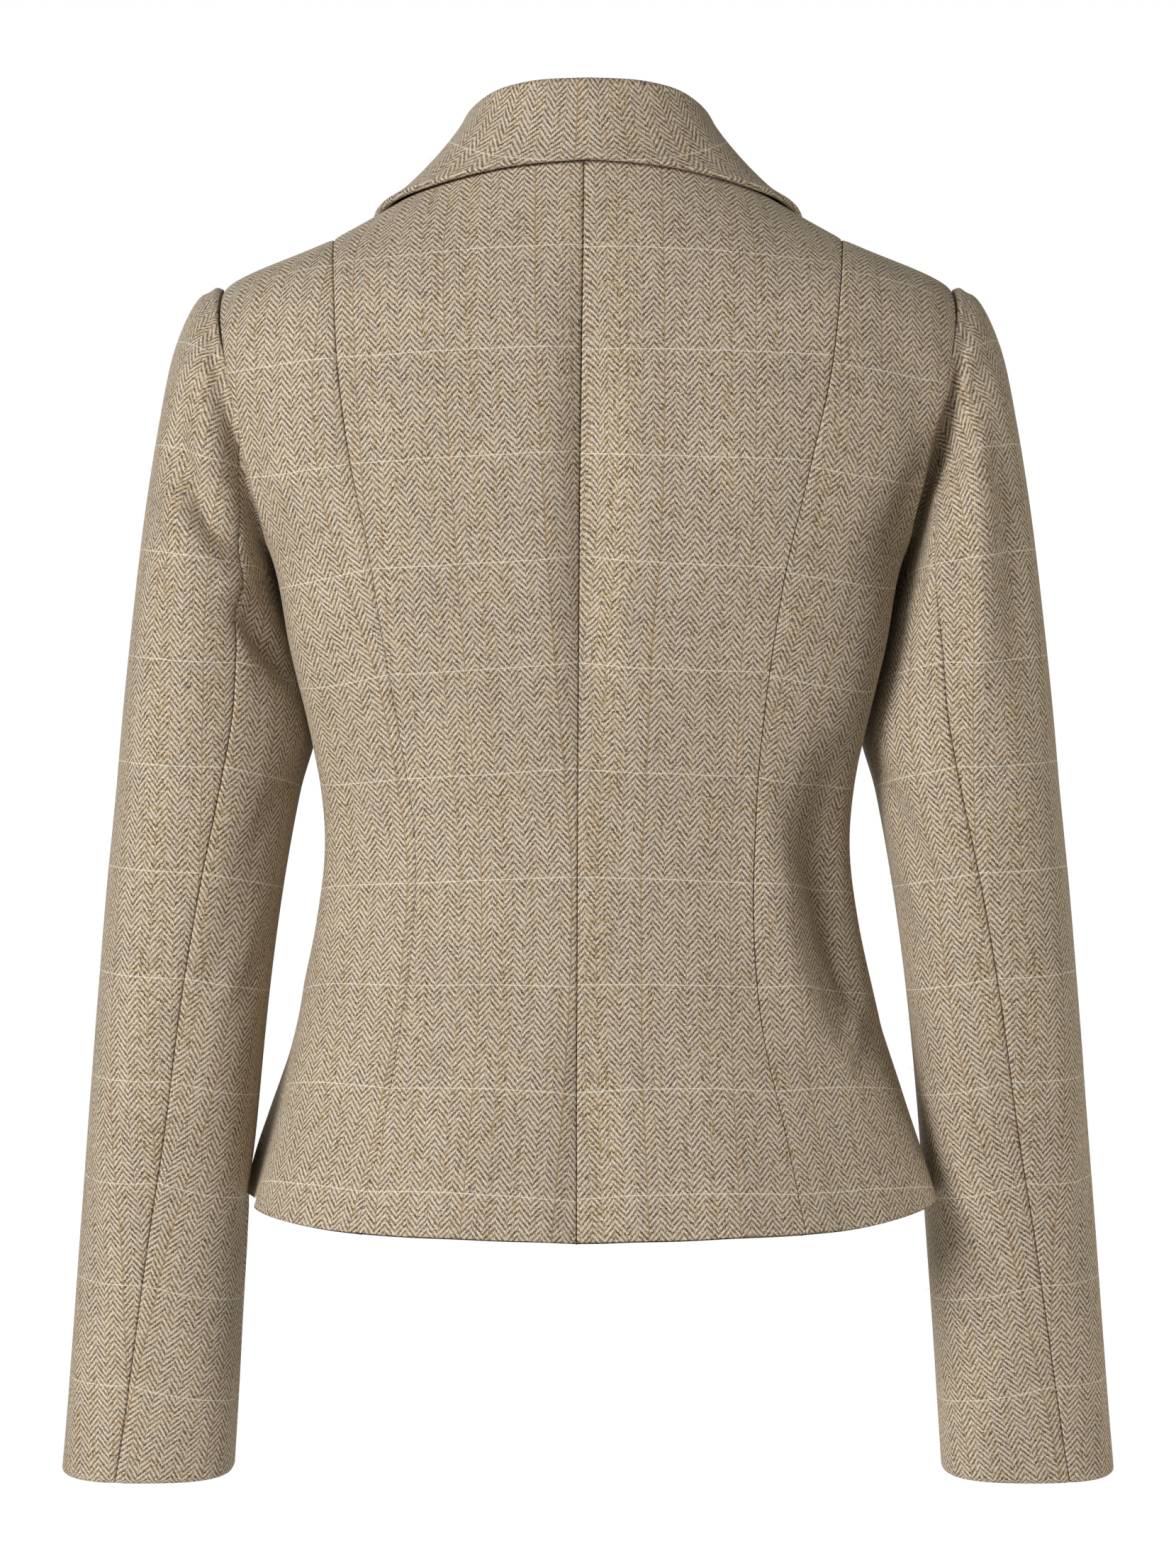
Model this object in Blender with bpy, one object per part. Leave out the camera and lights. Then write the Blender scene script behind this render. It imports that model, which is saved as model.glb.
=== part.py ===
# Short fitted tweed jacket in its worn, hollow form: centre-back and side-back panels, fronts with
# lapels, a turned-down collar, two-piece sleeves and two buttons.
# Metres. The back faces -Y, the front +Y, the wearer's right is +X and +Z is up.
# The origin is the middle of the neck opening at the height of the nape seam.

import math
from collections import namedtuple

import bpy
import numpy as np

# Cloth, seams and laps
CLOTH = 0.0020
COLLAR_CLOTH = 0.0026
SEAM_GAP = 0.0003
LAY_GAP = 0.0006
LAPEL_LIFT = 0.0012
FRONT_OVERLAP = 0.018
LAP_BLEND = 0.025
LAP_GAP = 0.0014
LAP_TOP = -0.165
LAP_FADE = 0.060
LAPEL_ROLL = 0.0025
LAPEL_SETTLE = 0.010
COLLAR_ROLL = 0.0030
COLLAR_LIFT = 0.0022
NECK_GAP = 0.0018

# Levels count the rows of the torso table, from 0 at the hem to 12 at the neck
UNDERARM_LEVEL = 7.0
PRINCESS_TOP_LEVEL = 11.0
TIP_LEVEL = 10.0
NECK_LEVEL = 12.0
BREAK_LEVEL = 5.2
ARMHOLE_BACK_TURN = math.radians(30.0)
ARMHOLE_FRONT_TURN = math.radians(29.0)

# Half the V of the fronts at the neck ring
GORGE_X = 0.0395

# How finely each piece is divided
ROWS_BELOW_ARM = 10
ROWS_ARMHOLE = 12
NECK_COLUMNS = 4
INNER_SHOULDER_COLUMNS = 2
OUTER_SHOULDER_COLUMNS = 5
TOP_SLEEVE_COLUMNS = 15
UNDER_SLEEVE_COLUMNS = 9
SLEEVE_ROWS = 24
SLEEVE_FINENESS = 4
LAPEL_ROWS = 13
GORGE_COLUMNS = 3
NOTCH_COLUMNS = 2
ROLL_STEPS = 4
COLLAR_STATIONS = 26
STAND_STEPS = 3
FALL_STEPS = 6
END_REACH = 6

# Torso rings: height, half width and depth at the side, the back and the front; squareness of each half
Section = namedtuple("Section", "z_side x_side y_side z_back y_back z_front y_front square_back square_front")
TORSO = (
    Section(-0.5425, 0.1726, -0.016, -0.5575, -0.124, -0.554, 0.124, 2.30, 2.20),
    Section(-0.500, 0.1605, -0.016, -0.507, -0.112, -0.505, 0.118, 2.30, 2.20),
    Section(-0.450, 0.1495, -0.017, -0.455, -0.097, -0.454, 0.112, 2.20, 2.20),
    Section(-0.400, 0.1390, -0.018, -0.403, -0.086, -0.403, 0.108, 2.05, 2.20),
    Section(-0.356, 0.1348, -0.021, -0.357, -0.081, -0.357, 0.107, 2.00, 2.20),
    Section(-0.309, 0.1405, -0.027, -0.310, -0.085, -0.310, 0.112, 2.20, 2.20),
    Section(-0.262, 0.1505, -0.027, -0.264, -0.093, -0.264, 0.120, 2.70, 2.20),
    Section(-0.212, 0.1615, -0.012, -0.216, -0.100, -0.218, 0.124, 3.00, 2.20),
    Section(-0.165, 0.1890, 0.002, -0.170, -0.104, -0.175, 0.118, 3.00, 2.20),
    Section(-0.118, 0.2000, 0.002, -0.126, -0.102, -0.135, 0.104, 2.90, 2.20),
    Section(-0.0762, 0.1870, 0.002, -0.085, -0.095, -0.105, 0.086, 2.60, 2.20),
    Section(-0.0530, 0.1300, 0.004, -0.043, -0.081, -0.086, 0.066, 2.25, 2.10),
    Section(-0.0245, 0.0720, 0.006, 0.000, -0.062, -0.070, 0.048, 2.00, 2.00),
)

# Where the back seams cross each torso level, across from the middle of the body
BackSeams = namedtuple("BackSeams", "centre_x right_x left_x")
BACK_SEAMS = (
    BackSeams(-0.0055, 0.1085, 0.1163),
    BackSeams(-0.0055, 0.0986, 0.1034),
    BackSeams(-0.0054, 0.0873, 0.0942),
    BackSeams(-0.0053, 0.0829, 0.0877),
    BackSeams(-0.0052, 0.0835, 0.0874),
    BackSeams(-0.0048, 0.0869, 0.0941),
    BackSeams(-0.0043, 0.0924, 0.1020),
    BackSeams(-0.0040, 0.1005, 0.1099),
    BackSeams(-0.0037, 0.1120, 0.1198),
    BackSeams(-0.0032, 0.1219, 0.1255),
    BackSeams(-0.0027, 0.1271, 0.1281),
    BackSeams(-0.0022, 0.1300, 0.1300),
    BackSeams(-0.0019, 0.1300, 0.1300),
)

# Largest folds of the body, each along a line of turns (degrees from the side, back negative) and levels
Fold = namedtuple("Fold", "side turn_low low turn_high high half_width height")
BODY_FOLDS = (
    Fold(1, -88.6, -1.6, -89.2, 2.6, 0.011, -0.0030),
    Fold(-1, -87.8, -1.6, -88.8, 2.4, 0.010, -0.0026),
    Fold(1, -14.0, 4.6, -22.0, 8.8, 0.022, 0.0025),
    Fold(-1, -14.0, 4.6, -22.0, 8.8, 0.022, 0.0030),
    Fold(1, 18.0, 4.2, 12.0, 7.6, 0.030, -0.0035),
    Fold(-1, 18.0, 4.2, 12.0, 7.6, 0.030, -0.0035),
    Fold(1, -9.0, -1.8, -5.0, 1.9, 0.024, 0.0065),
    Fold(-1, 23.0, -1.8, 15.0, 2.0, 0.020, 0.0148),
    Fold(-1, -1.0, -1.8, -2.0, 2.4, 0.013, -0.0050),
    Fold(1, -22.0, 1.3, -26.0, 5.2, 0.016, -0.0110),
    Fold(1, -44.0, 1.4, -46.0, 5.4, 0.014, 0.0042),
)

# Right sleeve rings: outer, inner and middle points, back and front depth, place of the hindarm seam
Ring = namedtuple("Ring", "z_out x_out z_in x_in y_in z_mid x_mid y_back y_front hind_turn")
SLEEVE = (
    Ring(-0.0806, 0.1994, -0.2185, 0.1602, 0.004, -0.157, 0.1860, -0.0690, 0.0660, 94.0),
    Ring(-0.1058, 0.2117, -0.2255, 0.1580, 0.011, -0.172, 0.1900, -0.0715, 0.0690, 100.0),
    Ring(-0.1420, 0.2194, -0.2340, 0.1560, 0.016, -0.192, 0.1925, -0.0715, 0.0695, 108.0),
    Ring(-0.1900, 0.2268, -0.2470, 0.1522, 0.018, -0.220, 0.1940, -0.0695, 0.0680, 112.0),
    Ring(-0.2400, 0.2328, -0.2680, 0.1470, 0.018, -0.255, 0.1945, -0.0660, 0.0655, 110.0),
    Ring(-0.2900, 0.2382, -0.3000, 0.1402, 0.018, -0.295, 0.1940, -0.0620, 0.0630, 104.0),
    Ring(-0.3350, 0.2424, -0.3350, 0.1488, 0.012, -0.335, 0.1956, -0.0590, 0.0580, 98.5),
    Ring(-0.3850, 0.2473, -0.3850, 0.1573, 0.004, -0.385, 0.2023, -0.0560, 0.0540, 93.5),
    Ring(-0.4400, 0.2520, -0.4400, 0.1643, 0.002, -0.440, 0.2082, -0.0520, 0.0530, 88.0),
    Ring(-0.5000, 0.2574, -0.5000, 0.1702, 0.010, -0.500, 0.2138, -0.0400, 0.0590, 83.0),
    Ring(-0.5550, 0.2624, -0.5550, 0.1746, 0.024, -0.555, 0.2185, -0.0250, 0.0690, 77.0),
    Ring(-0.6100, 0.2668, -0.6100, 0.1788, 0.029, -0.610, 0.2228, -0.0150, 0.0710, 72.0),
    Ring(-0.6550, 0.2708, -0.6550, 0.1820, 0.036, -0.655, 0.2264, -0.0040, 0.0750, 68.0),
    Ring(-0.6860, 0.2738, -0.6860, 0.1842, 0.040, -0.686, 0.2290, 0.0020, 0.0780, 65.0),
)
HEAD_TURN = 91.0
FOREARM_TURN = 225.0
LEFT_CUFF_TWIST = 6.0

# Rings are squared off below the head
RING_SQUARE = 0.085
SQUARE_ROWS = 4.0

# The sleeves lie just clear of the body
SLEEVE_CLEAR = 0.0050
CLEAR_ROW = 0.35

# Largest folds of the sleeves, along lines of turns (degrees, 90 at the back) and sleeve rows
SLEEVE_FOLDS = (
    Fold(1, 62.0, 0.6, 40.0, 4.4, 0.012, -0.0030),
    Fold(-1, 66.0, 0.6, 44.0, 4.6, 0.012, -0.0032),
    Fold(1, 105.0, 0.8, 122.0, 5.5, 0.012, 0.0025),
    Fold(-1, 105.0, 0.8, 122.0, 5.5, 0.012, 0.0025),
    Fold(1, 150.0, 7.0, 95.0, 9.4, 0.013, -0.0022),
    Fold(-1, 146.0, 7.2, 92.0, 9.6, 0.013, -0.0022),
    Fold(1, 26.0, 1.9, 112.0, 1.1, 0.0130, -0.0060),
    Fold(1, 80.0, 1.7, 86.0, 6.4, 0.008, 0.0052),
    Fold(1, 58.0, 2.0, 54.0, 6.6, 0.012, -0.0060),
    Fold(-1, 40.0, 2.9, 124.0, 3.1, 0.0105, -0.0080),
    Fold(-1, 34.0, 3.5, 108.0, 3.7, 0.010, 0.0030),
    Fold(-1, 108.0, 4.0, 154.0, 5.5, 0.0090, -0.0070),
)

# Collar from the centre back to the gorge: seam turn, point of the roll, and turn and level of the edge
Station = namedtuple("Station", "seam_turn roll_x roll_y roll_z edge_turn edge_level")
COLLAR = (
    Station(-90.0, 0.0000, -0.0560, 0.0245, -90.0, 11.61),
    Station(-64.0, 0.0270, -0.0520, 0.0234, -67.0, 11.55),
    Station(-34.0, 0.0470, -0.0350, 0.0180, -38.0, 11.43),
    Station(0.0, 0.0580, -0.0010, 0.0050, 0.0, 11.375),
    Station(28.0, 0.0535, 0.0190, -0.0200, 24.0, 11.20),
    Station(44.0, 0.0450, 0.0300, -0.0420, 38.0, 11.08),
    Station(56.7, 0.0355, 0.0390, -0.0600, 46.0, 11.00),
)

# Outer edge of the lapel, from the break to its point
LapelEdge = namedtuple("LapelEdge", "level edge_x")
LAPEL = (
    LapelEdge(5.2, -0.0180),
    LapelEdge(6.0, 0.0170),
    LapelEdge(7.0, 0.0460),
    LapelEdge(8.0, 0.0700),
    LapelEdge(9.0, 0.0890),
    LapelEdge(10.2, 0.1000),
)
NOTCH_X = 0.0700
NOTCH_LEVEL = 11.38
LAPEL_CLEAR = 0.0080
ROOT_REACH = 0.0016
LEFT_ROLL_LEVEL = 6.9
RIGHT_LAPEL_START = 5.30
LEFT_LAPEL_START = 6.15
LAPEL_TRIM = 0.0014

# Buttons
BUTTON_RADIUS = 0.0100
BUTTON_DEPTH = 0.0042
BUTTON_RIM = 0.0024
BUTTON_DISH = 0.0010
BUTTON_SEGMENTS = 24
BUTTON_LEVELS = (4.90, 3.15)

# Finish
TWEED = (0.42, 0.35, 0.26)
HORN = (0.07, 0.045, 0.03)


def clear_scene():
    for item in list(bpy.data.objects):
        bpy.data.objects.remove(item, do_unlink=True)


def make_material(name, colour, roughness):
    material = bpy.data.materials.new(name)
    material.use_nodes = True
    shader = material.node_tree.nodes["Principled BSDF"]
    shader.inputs["Base Color"].default_value = (*colour, 1.0)
    shader.inputs["Roughness"].default_value = roughness
    shader.inputs["Metallic"].default_value = 0.0
    return material


def rows_at(table, place):
    # Smooth values between the rows of a table; place counts rows and may be an array
    rows = np.asarray(table, dtype=float)
    place = np.asarray(place, dtype=float)
    last = len(rows) - 1
    first = np.clip(np.floor(place).astype(int), 0, last - 1)
    part = (place - first)[..., None]
    start = rows[first]
    end = rows[first + 1]
    before = np.where((first > 0)[..., None], rows[np.maximum(first - 1, 0)], 2.0 * start - end)
    after = np.where((first < last - 1)[..., None], rows[np.minimum(first + 2, last)], 2.0 * end - start)
    slope_start = 0.5 * (end - before)
    slope_end = 0.5 * (after - start)
    cubic = 2.0 * start - 2.0 * end + slope_start + slope_end
    square = 3.0 * end - 3.0 * start - 2.0 * slope_start - slope_end
    return ((cubic * part + square) * part + slope_start) * part + start


def unit(vectors):
    return vectors / np.linalg.norm(vectors, axis=-1, keepdims=True)


def ease(value):
    value = np.clip(value, 0.0, 1.0)
    return value * value * (3.0 - 2.0 * value)


# Torso surface


def torso_ring(side, turn, level):
    row = Section(*np.moveaxis(rows_at(TORSO, level), -1, 0))
    cosine, sine = np.cos(turn), np.sin(turn)
    behind = sine < 0.0
    square = np.where(behind, row.square_back, row.square_front)
    across = np.sign(cosine) * np.abs(cosine) ** (2.0 / square)
    deep = np.abs(sine) ** (2.0 / square)
    y = row.y_side + (np.where(behind, row.y_back, row.y_front) - row.y_side) * deep
    z = row.z_side + (np.where(behind, row.z_back, row.z_front) - row.z_side) * deep
    return np.stack([side * row.x_side * across, y, z], axis=-1)


def normals_of(surface, side, turn, level):
    step_turn, step_level = 0.003, 0.02
    along = surface(side, turn + step_turn, level) - surface(side, turn - step_turn, level)
    upward = surface(side, turn, level + step_level) - surface(side, turn, level - step_level)
    return side * unit(np.cross(along, upward))


def fold_heights(side, turn, level):
    points = torso_ring(side, turn, level)
    total = np.zeros(np.shape(turn))
    for fold in BODY_FOLDS:
        part = np.clip((level - fold.low) / (fold.high - fold.low), 0.0, 1.0)
        middle = np.radians(fold.turn_low + (fold.turn_high - fold.turn_low) * part)
        away = np.linalg.norm(points - torso_ring(fold.side, middle, level), axis=-1)
        total = total + fold.height * np.sin(math.pi * part) * np.exp(-((away / fold.half_width) ** 2))
    return total


def torso_point(side, turn, level):
    turn, level = np.broadcast_arrays(np.asarray(turn, float), np.asarray(level, float))
    outward = normals_of(torso_ring, side, turn, level)
    return torso_ring(side, turn, level) + outward * fold_heights(side, turn, level)[..., None]


def torso_normal(side, turn, level):
    turn, level = np.broadcast_arrays(np.asarray(turn, float), np.asarray(level, float))
    return normals_of(torso_point, side, turn, level)


def turn_at(x, level, behind):
    # The turn whose point on a level lies x from the middle of the body
    row = Section(*np.moveaxis(rows_at(TORSO, level), -1, 0))
    square = row.square_back if behind else row.square_front
    share = np.clip(x / row.x_side, -1.0, 1.0)
    angle = np.arccos(np.sign(share) * np.abs(share) ** (square / 2.0))
    return -angle if behind else angle


# Seam lines on the torso, as turns and levels from hem to top


def row_levels(top, gather=0.0):
    # Gather draws the upper rows closer together towards the top
    below = UNDERARM_LEVEL * np.arange(ROWS_BELOW_ARM + 1) / ROWS_BELOW_ARM
    share = np.arange(1, ROWS_ARMHOLE + 1) / ROWS_ARMHOLE
    share = share + gather * share * (1.0 - share)
    return np.concatenate([below, UNDERARM_LEVEL + (top - UNDERARM_LEVEL) * share])


def armhole_line(angle):
    # Angle 0 at the shoulder tip, 90 degrees at the back of the arm, 180 degrees under the arm
    middle = 0.5 * (UNDERARM_LEVEL + TIP_LEVEL)
    half = 0.5 * (TIP_LEVEL - UNDERARM_LEVEL)
    width = np.where(np.sin(angle) > 0.0, ARMHOLE_BACK_TURN, ARMHOLE_FRONT_TURN)
    return -width * np.sin(angle), middle + half * np.cos(angle)


def centre_back_line(side):
    levels = row_levels(NECK_LEVEL)
    x = side * rows_at(BACK_SEAMS, levels)[:, 0]
    return np.stack([turn_at(x, levels, True), levels], axis=-1)


def princess_line(side):
    levels = row_levels(PRINCESS_TOP_LEVEL, 1.0)
    x = rows_at(BACK_SEAMS, levels)[:, 1 if side > 0 else 2]
    turns = turn_at(x, levels, True)
    turns[-1] = 0.0
    return np.stack([turns, levels], axis=-1)


def side_line(behind):
    below = UNDERARM_LEVEL * np.arange(ROWS_BELOW_ARM + 1) / ROWS_BELOW_ARM
    angles = math.pi * (1.0 - np.arange(1, ROWS_ARMHOLE + 1) / ROWS_ARMHOLE)
    turns, levels = armhole_line(angles if behind else -angles)
    turns = np.concatenate([np.zeros(ROWS_BELOW_ARM + 1), turns])
    turns[-1] = 0.0
    return np.stack([turns, np.concatenate([below, levels])], axis=-1)


def front_edge_x(level):
    heights = np.asarray(TORSO)[:, 5]
    low = rows_at(TORSO, BREAK_LEVEL)[5]
    share = np.clip((rows_at(TORSO, level)[..., 5] - low) / (heights[-1] - low), 0.0, 1.0)
    return -FRONT_OVERLAP + (GORGE_X + FRONT_OVERLAP) * share


def front_edge_line():
    levels = row_levels(NECK_LEVEL)
    return np.stack([turn_at(front_edge_x(levels), levels, False), levels], axis=-1)


def straight(start, end, steps):
    share = np.linspace(0.0, 1.0, steps + 1)[:, None]
    return np.asarray(start) + (np.asarray(end) - np.asarray(start)) * share


def joined(*lines):
    return np.concatenate([lines[0]] + [line[1:] for line in lines[1:]])


def patch(bottom, top, left, right):
    # Grid of turns and levels between four edge lines; the end lines shape only the rows near them
    across = np.linspace(0.0, 1.0, len(bottom))[:, None]
    upward = np.linspace(0.0, 1.0, len(left))[:, None, None]
    sides = left[:, None] + (right - left)[:, None] * across
    bottom_bend = bottom - (bottom[0] + (bottom[-1] - bottom[0]) * across)
    top_bend = top - (top[0] + (top[-1] - top[0]) * across)
    return sides + bottom_bend * (1.0 - upward) ** END_REACH + top_bend * upward**END_REACH


# Walls


def trimmed(grid, distance, edges):
    # Draws chosen edges of a grid back by a distance
    result = grid.copy()
    if "left" in edges:
        result[:, 0] += unit(grid[:, 1] - grid[:, 0]) * distance
    if "right" in edges:
        result[:, -1] += unit(grid[:, -2] - grid[:, -1]) * distance
    if "bottom" in edges:
        result[0] += unit(grid[1] - grid[0]) * distance
    if "top" in edges:
        result[-1] += unit(grid[-2] - grid[-1]) * distance
    return result


def grid_normals(grid):
    along = np.gradient(grid, axis=1)
    upward = np.gradient(grid, axis=0)
    return unit(np.cross(along, upward))


def add_mesh(name, points, faces, material):
    mesh = bpy.data.meshes.new(name)
    mesh.from_pydata([tuple(point) for point in points], [], faces)
    mesh.polygons.foreach_set("use_smooth", [True] * len(mesh.polygons))
    corners = points[np.array(faces)]
    if np.einsum("ij,ij->", corners[:, 0], np.cross(corners[:, 1], corners[:, 2])) < 0.0:
        mesh.flip_normals()
    mesh.materials.append(material)
    mesh.update()
    item = bpy.data.objects.new(name, mesh)
    bpy.context.scene.collection.objects.link(item)
    return item


def add_wall(name, outer, inner, material):
    # Closed wall between two grids of the same size
    rows, columns = outer.shape[:2]
    count = rows * columns
    place = np.arange(count).reshape(rows, columns)
    faces = []
    for row in range(rows - 1):
        for column in range(columns - 1):
            a, b = place[row, column], place[row, column + 1]
            c, d = place[row + 1, column + 1], place[row + 1, column]
            faces += [(a, b, c), (a, c, d)]
            faces += [(count + c, count + b, count + a), (count + d, count + c, count + a)]
    rim = list(place[0, :-1]) + list(place[:-1, -1]) + list(place[-1, :0:-1]) + list(place[:0:-1, 0])
    # Both sides of a seam are split along the same diagonal
    for one, two in zip(rim, rim[1:] + rim[:1]):
        if one < two:
            faces += [(two, one, count + one), (two, count + one, count + two)]
        else:
            faces += [(two, one, count + two), (one, count + one, count + two)]
    faces = [tuple(int(index) for index in face) for face in faces]
    points = np.concatenate([outer.reshape(-1, 3), inner.reshape(-1, 3)])
    return add_mesh(name, points, faces, material)


def add_panel(name, side, lines, edges, material, lift=None):
    grid = patch(**lines)
    turn, level = grid[..., 0], grid[..., 1]
    outer = torso_point(side, turn, level)
    outward = torso_normal(side, turn, level)
    if lift is not None:
        outer = outer + outward * lift(outer)[..., None]
    inner = outer - outward * CLOTH
    half = 0.5 * SEAM_GAP
    return add_wall(name, trimmed(outer, half, edges), trimmed(inner, half, edges), material)


# Body panels


def side_word(side):
    return "right" if side > 0 else "left"


def add_back(side, material):
    centre, princess = centre_back_line(side), princess_line(side)
    neck_point = (0.0, NECK_LEVEL)
    neck = straight(centre[-1], neck_point, NECK_COLUMNS)
    shoulder = straight(neck_point, princess[-1], INNER_SHOULDER_COLUMNS)
    columns = NECK_COLUMNS + INNER_SHOULDER_COLUMNS
    lines = {
        "bottom": straight(centre[0], princess[0], columns),
        "top": joined(neck, shoulder),
        "left": centre,
        "right": princess,
    }
    add_panel(f"back_{side_word(side)}", side, lines, ("left", "right", "top"), material)


def add_side_back(side, material):
    princess, outer = princess_line(side), side_line(True)
    lines = {
        "bottom": straight(princess[0], outer[0], OUTER_SHOULDER_COLUMNS),
        "top": straight(princess[-1], outer[-1], OUTER_SHOULDER_COLUMNS),
        "left": princess,
        "right": outer,
    }
    add_panel(f"side_back_{side_word(side)}", side, lines, ("left", "right", "top"), material)


def lap_lift(points):
    # The right front lies over the left one along the centre front
    across = ease((FRONT_OVERLAP + LAP_BLEND - points[..., 0]) / LAP_BLEND)
    below = ease((LAP_TOP - points[..., 2]) / LAP_FADE)
    return (CLOTH + LAP_GAP) * across * below


def add_front(side, material):
    edge, outer = front_edge_line(), side_line(False)
    neck_point, mid_point = (0.0, NECK_LEVEL), (0.0, PRINCESS_TOP_LEVEL)
    neck = straight(edge[-1], neck_point, NECK_COLUMNS)
    inner_shoulder = straight(neck_point, mid_point, INNER_SHOULDER_COLUMNS)
    outer_shoulder = straight(mid_point, outer[-1], OUTER_SHOULDER_COLUMNS)
    columns = NECK_COLUMNS + INNER_SHOULDER_COLUMNS + OUTER_SHOULDER_COLUMNS
    lines = {
        "bottom": straight(edge[0], outer[0], columns),
        "top": joined(neck, inner_shoulder, outer_shoulder),
        "left": edge,
        "right": outer,
    }
    lift = lap_lift if side > 0 else None
    add_panel(f"front_{side_word(side)}", side, lines, ("left", "right", "top"), material, lift)


# Lapels


def lapel_inner_x(side, level):
    edge = front_edge_x(level)
    if side > 0:
        return edge
    return np.maximum(edge, LAPEL_CLEAR - edge)


def lapel_outer_x(level):
    levels = [row.level for row in LAPEL]
    places = np.interp(level, levels, np.arange(len(LAPEL)))
    return rows_at(LAPEL, places)[..., 1]


def lapel_grid(side):
    # Turns and levels of the flat of the lapel, from its root to its edge
    start = RIGHT_LAPEL_START if side > 0 else LEFT_LAPEL_START
    inner_levels = np.linspace(start, NECK_LEVEL, LAPEL_ROWS + 1)
    outer_levels = np.linspace(start, LAPEL[-1].level, LAPEL_ROWS + 1)
    inner = np.stack([lapel_inner_x(side, inner_levels), inner_levels], axis=-1)
    outer = np.stack([lapel_outer_x(outer_levels), outer_levels], axis=-1)
    notch = (NOTCH_X, NOTCH_LEVEL)
    top = joined(straight(inner[-1], notch, GORGE_COLUMNS), straight(notch, outer[-1], NOTCH_COLUMNS))
    bottom = straight(inner[0], outer[0], GORGE_COLUMNS + NOTCH_COLUMNS)
    grid = patch(bottom, top, inner, outer)
    return turn_at(grid[..., 0], grid[..., 1], False), grid[..., 1]


def add_lapel(side, material):
    turn, level = lapel_grid(side)
    ground = torso_point(side, turn, level)
    outward = torso_normal(side, turn, level)
    if side > 0:
        ground = ground + outward * lap_lift(ground)[..., None]
    from_root = np.linalg.norm(ground - ground[:, :1], axis=-1)
    rolled = ease((level[:, :1] - LEFT_ROLL_LEVEL) / 0.8) if side < 0 else np.ones((len(level), 1))
    settled = LAPEL_LIFT + 0.5 * CLOTH
    high = 2.0 * LAPEL_ROLL - 0.5 * CLOTH - settled
    flat = ground + outward * (settled + high * rolled * np.exp(-from_root / LAPEL_SETTLE))[..., None]
    away = unit(ground[:, 0] - ground[:, 1])
    roll = []
    for angle in np.linspace(math.pi, 0.0, ROLL_STEPS + 1)[:-1]:
        reach = LAPEL_ROLL * math.sin(angle) * rolled + ROOT_REACH * angle / math.pi
        drop = LAPEL_ROLL * (1.0 - math.cos(angle)) * rolled
        roll.append(flat[:, 0] + away * reach - outward[:, 0] * drop)
    middle = np.concatenate([np.stack(roll, axis=1), flat], axis=1)
    middle = trimmed(middle, LAPEL_TRIM, ("top",))
    shift = side * grid_normals(middle) * 0.5 * CLOTH
    add_wall(f"lapel_{side_word(side)}", middle + shift, middle - shift, material)


# Collar


def collar_section(place):
    # Points across the collar from the neck seam over the roll to the edge of the fall
    side = 1.0 if place >= 0.0 else -1.0
    row = Station(*rows_at(COLLAR, abs(place) * (len(COLLAR) - 1)))
    seam_turn, edge_turn = math.radians(row.seam_turn), math.radians(row.edge_turn)
    upward = unit(torso_point(side, seam_turn, NECK_LEVEL) - torso_point(side, seam_turn, NECK_LEVEL - 0.2))
    seam = torso_point(side, seam_turn, NECK_LEVEL) - torso_normal(side, seam_turn, NECK_LEVEL) * 0.5 * CLOTH
    seam = seam + upward * NECK_GAP
    roll = np.array([side * row.roll_x, row.roll_y, row.roll_z])
    lift = LAY_GAP + COLLAR_LIFT + 0.5 * COLLAR_CLOTH
    edge = torso_point(side, edge_turn, row.edge_level) + torso_normal(side, edge_turn, row.edge_level) * lift
    rise = unit(roll - seam)
    out = (edge - seam) - rise * np.dot(edge - seam, rise)
    out = unit(out)
    stand_top = roll - rise * COLLAR_ROLL
    points = [seam + (stand_top - seam) * step / STAND_STEPS for step in range(STAND_STEPS)]
    middle = stand_top + out * COLLAR_ROLL
    for angle in np.linspace(math.pi, 0.0, ROLL_STEPS + 1):
        points.append(middle + (out * math.cos(angle) + rise * math.sin(angle)) * COLLAR_ROLL)
    fall_top = points[-1]
    settle = torso_point(side, edge_turn, row.edge_level) - torso_point(side, edge_turn, row.edge_level + 0.1)
    length = np.linalg.norm(edge - fall_top)
    start_pull, end_pull = -rise * length * 0.5, unit(settle) * length * 0.8
    for step in range(1, FALL_STEPS + 1):
        part = step / FALL_STEPS
        square, cube = part * part, part * part * part
        points.append(
            (2.0 * cube - 3.0 * square + 1.0) * fall_top
            + (cube - 2.0 * square + part) * start_pull
            + (3.0 * square - 2.0 * cube) * edge
            + (cube - square) * end_pull
        )
    return np.array(points)


def add_collar(material):
    places = np.linspace(-1.0, 1.0, COLLAR_STATIONS + 1)
    middle = np.stack([collar_section(place) for place in places], axis=0)
    shift = grid_normals(middle) * 0.5 * COLLAR_CLOTH
    add_wall("collar", middle + shift, middle - shift, material)


# Sleeves


def sleeve_turns(side):
    # Turns of every column at each ring of the table, the armhole first
    hind = np.array([HEAD_TURN] + [ring.hind_turn for ring in SLEEVE])
    if side < 0:
        hind = hind + LEFT_CUFF_TWIST * ease(np.arange(len(hind)) / (len(hind) - 1))
    top = np.linspace(hind, FOREARM_TURN - 360.0, TOP_SLEEVE_COLUMNS * SLEEVE_FINENESS + 1, axis=1)
    under = np.linspace(hind, FOREARM_TURN, UNDER_SLEEVE_COLUMNS * SLEEVE_FINENESS + 1, axis=1)
    return np.radians(np.concatenate([top[:, ::-1], under[:, 1:-1]], axis=1))


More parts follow.
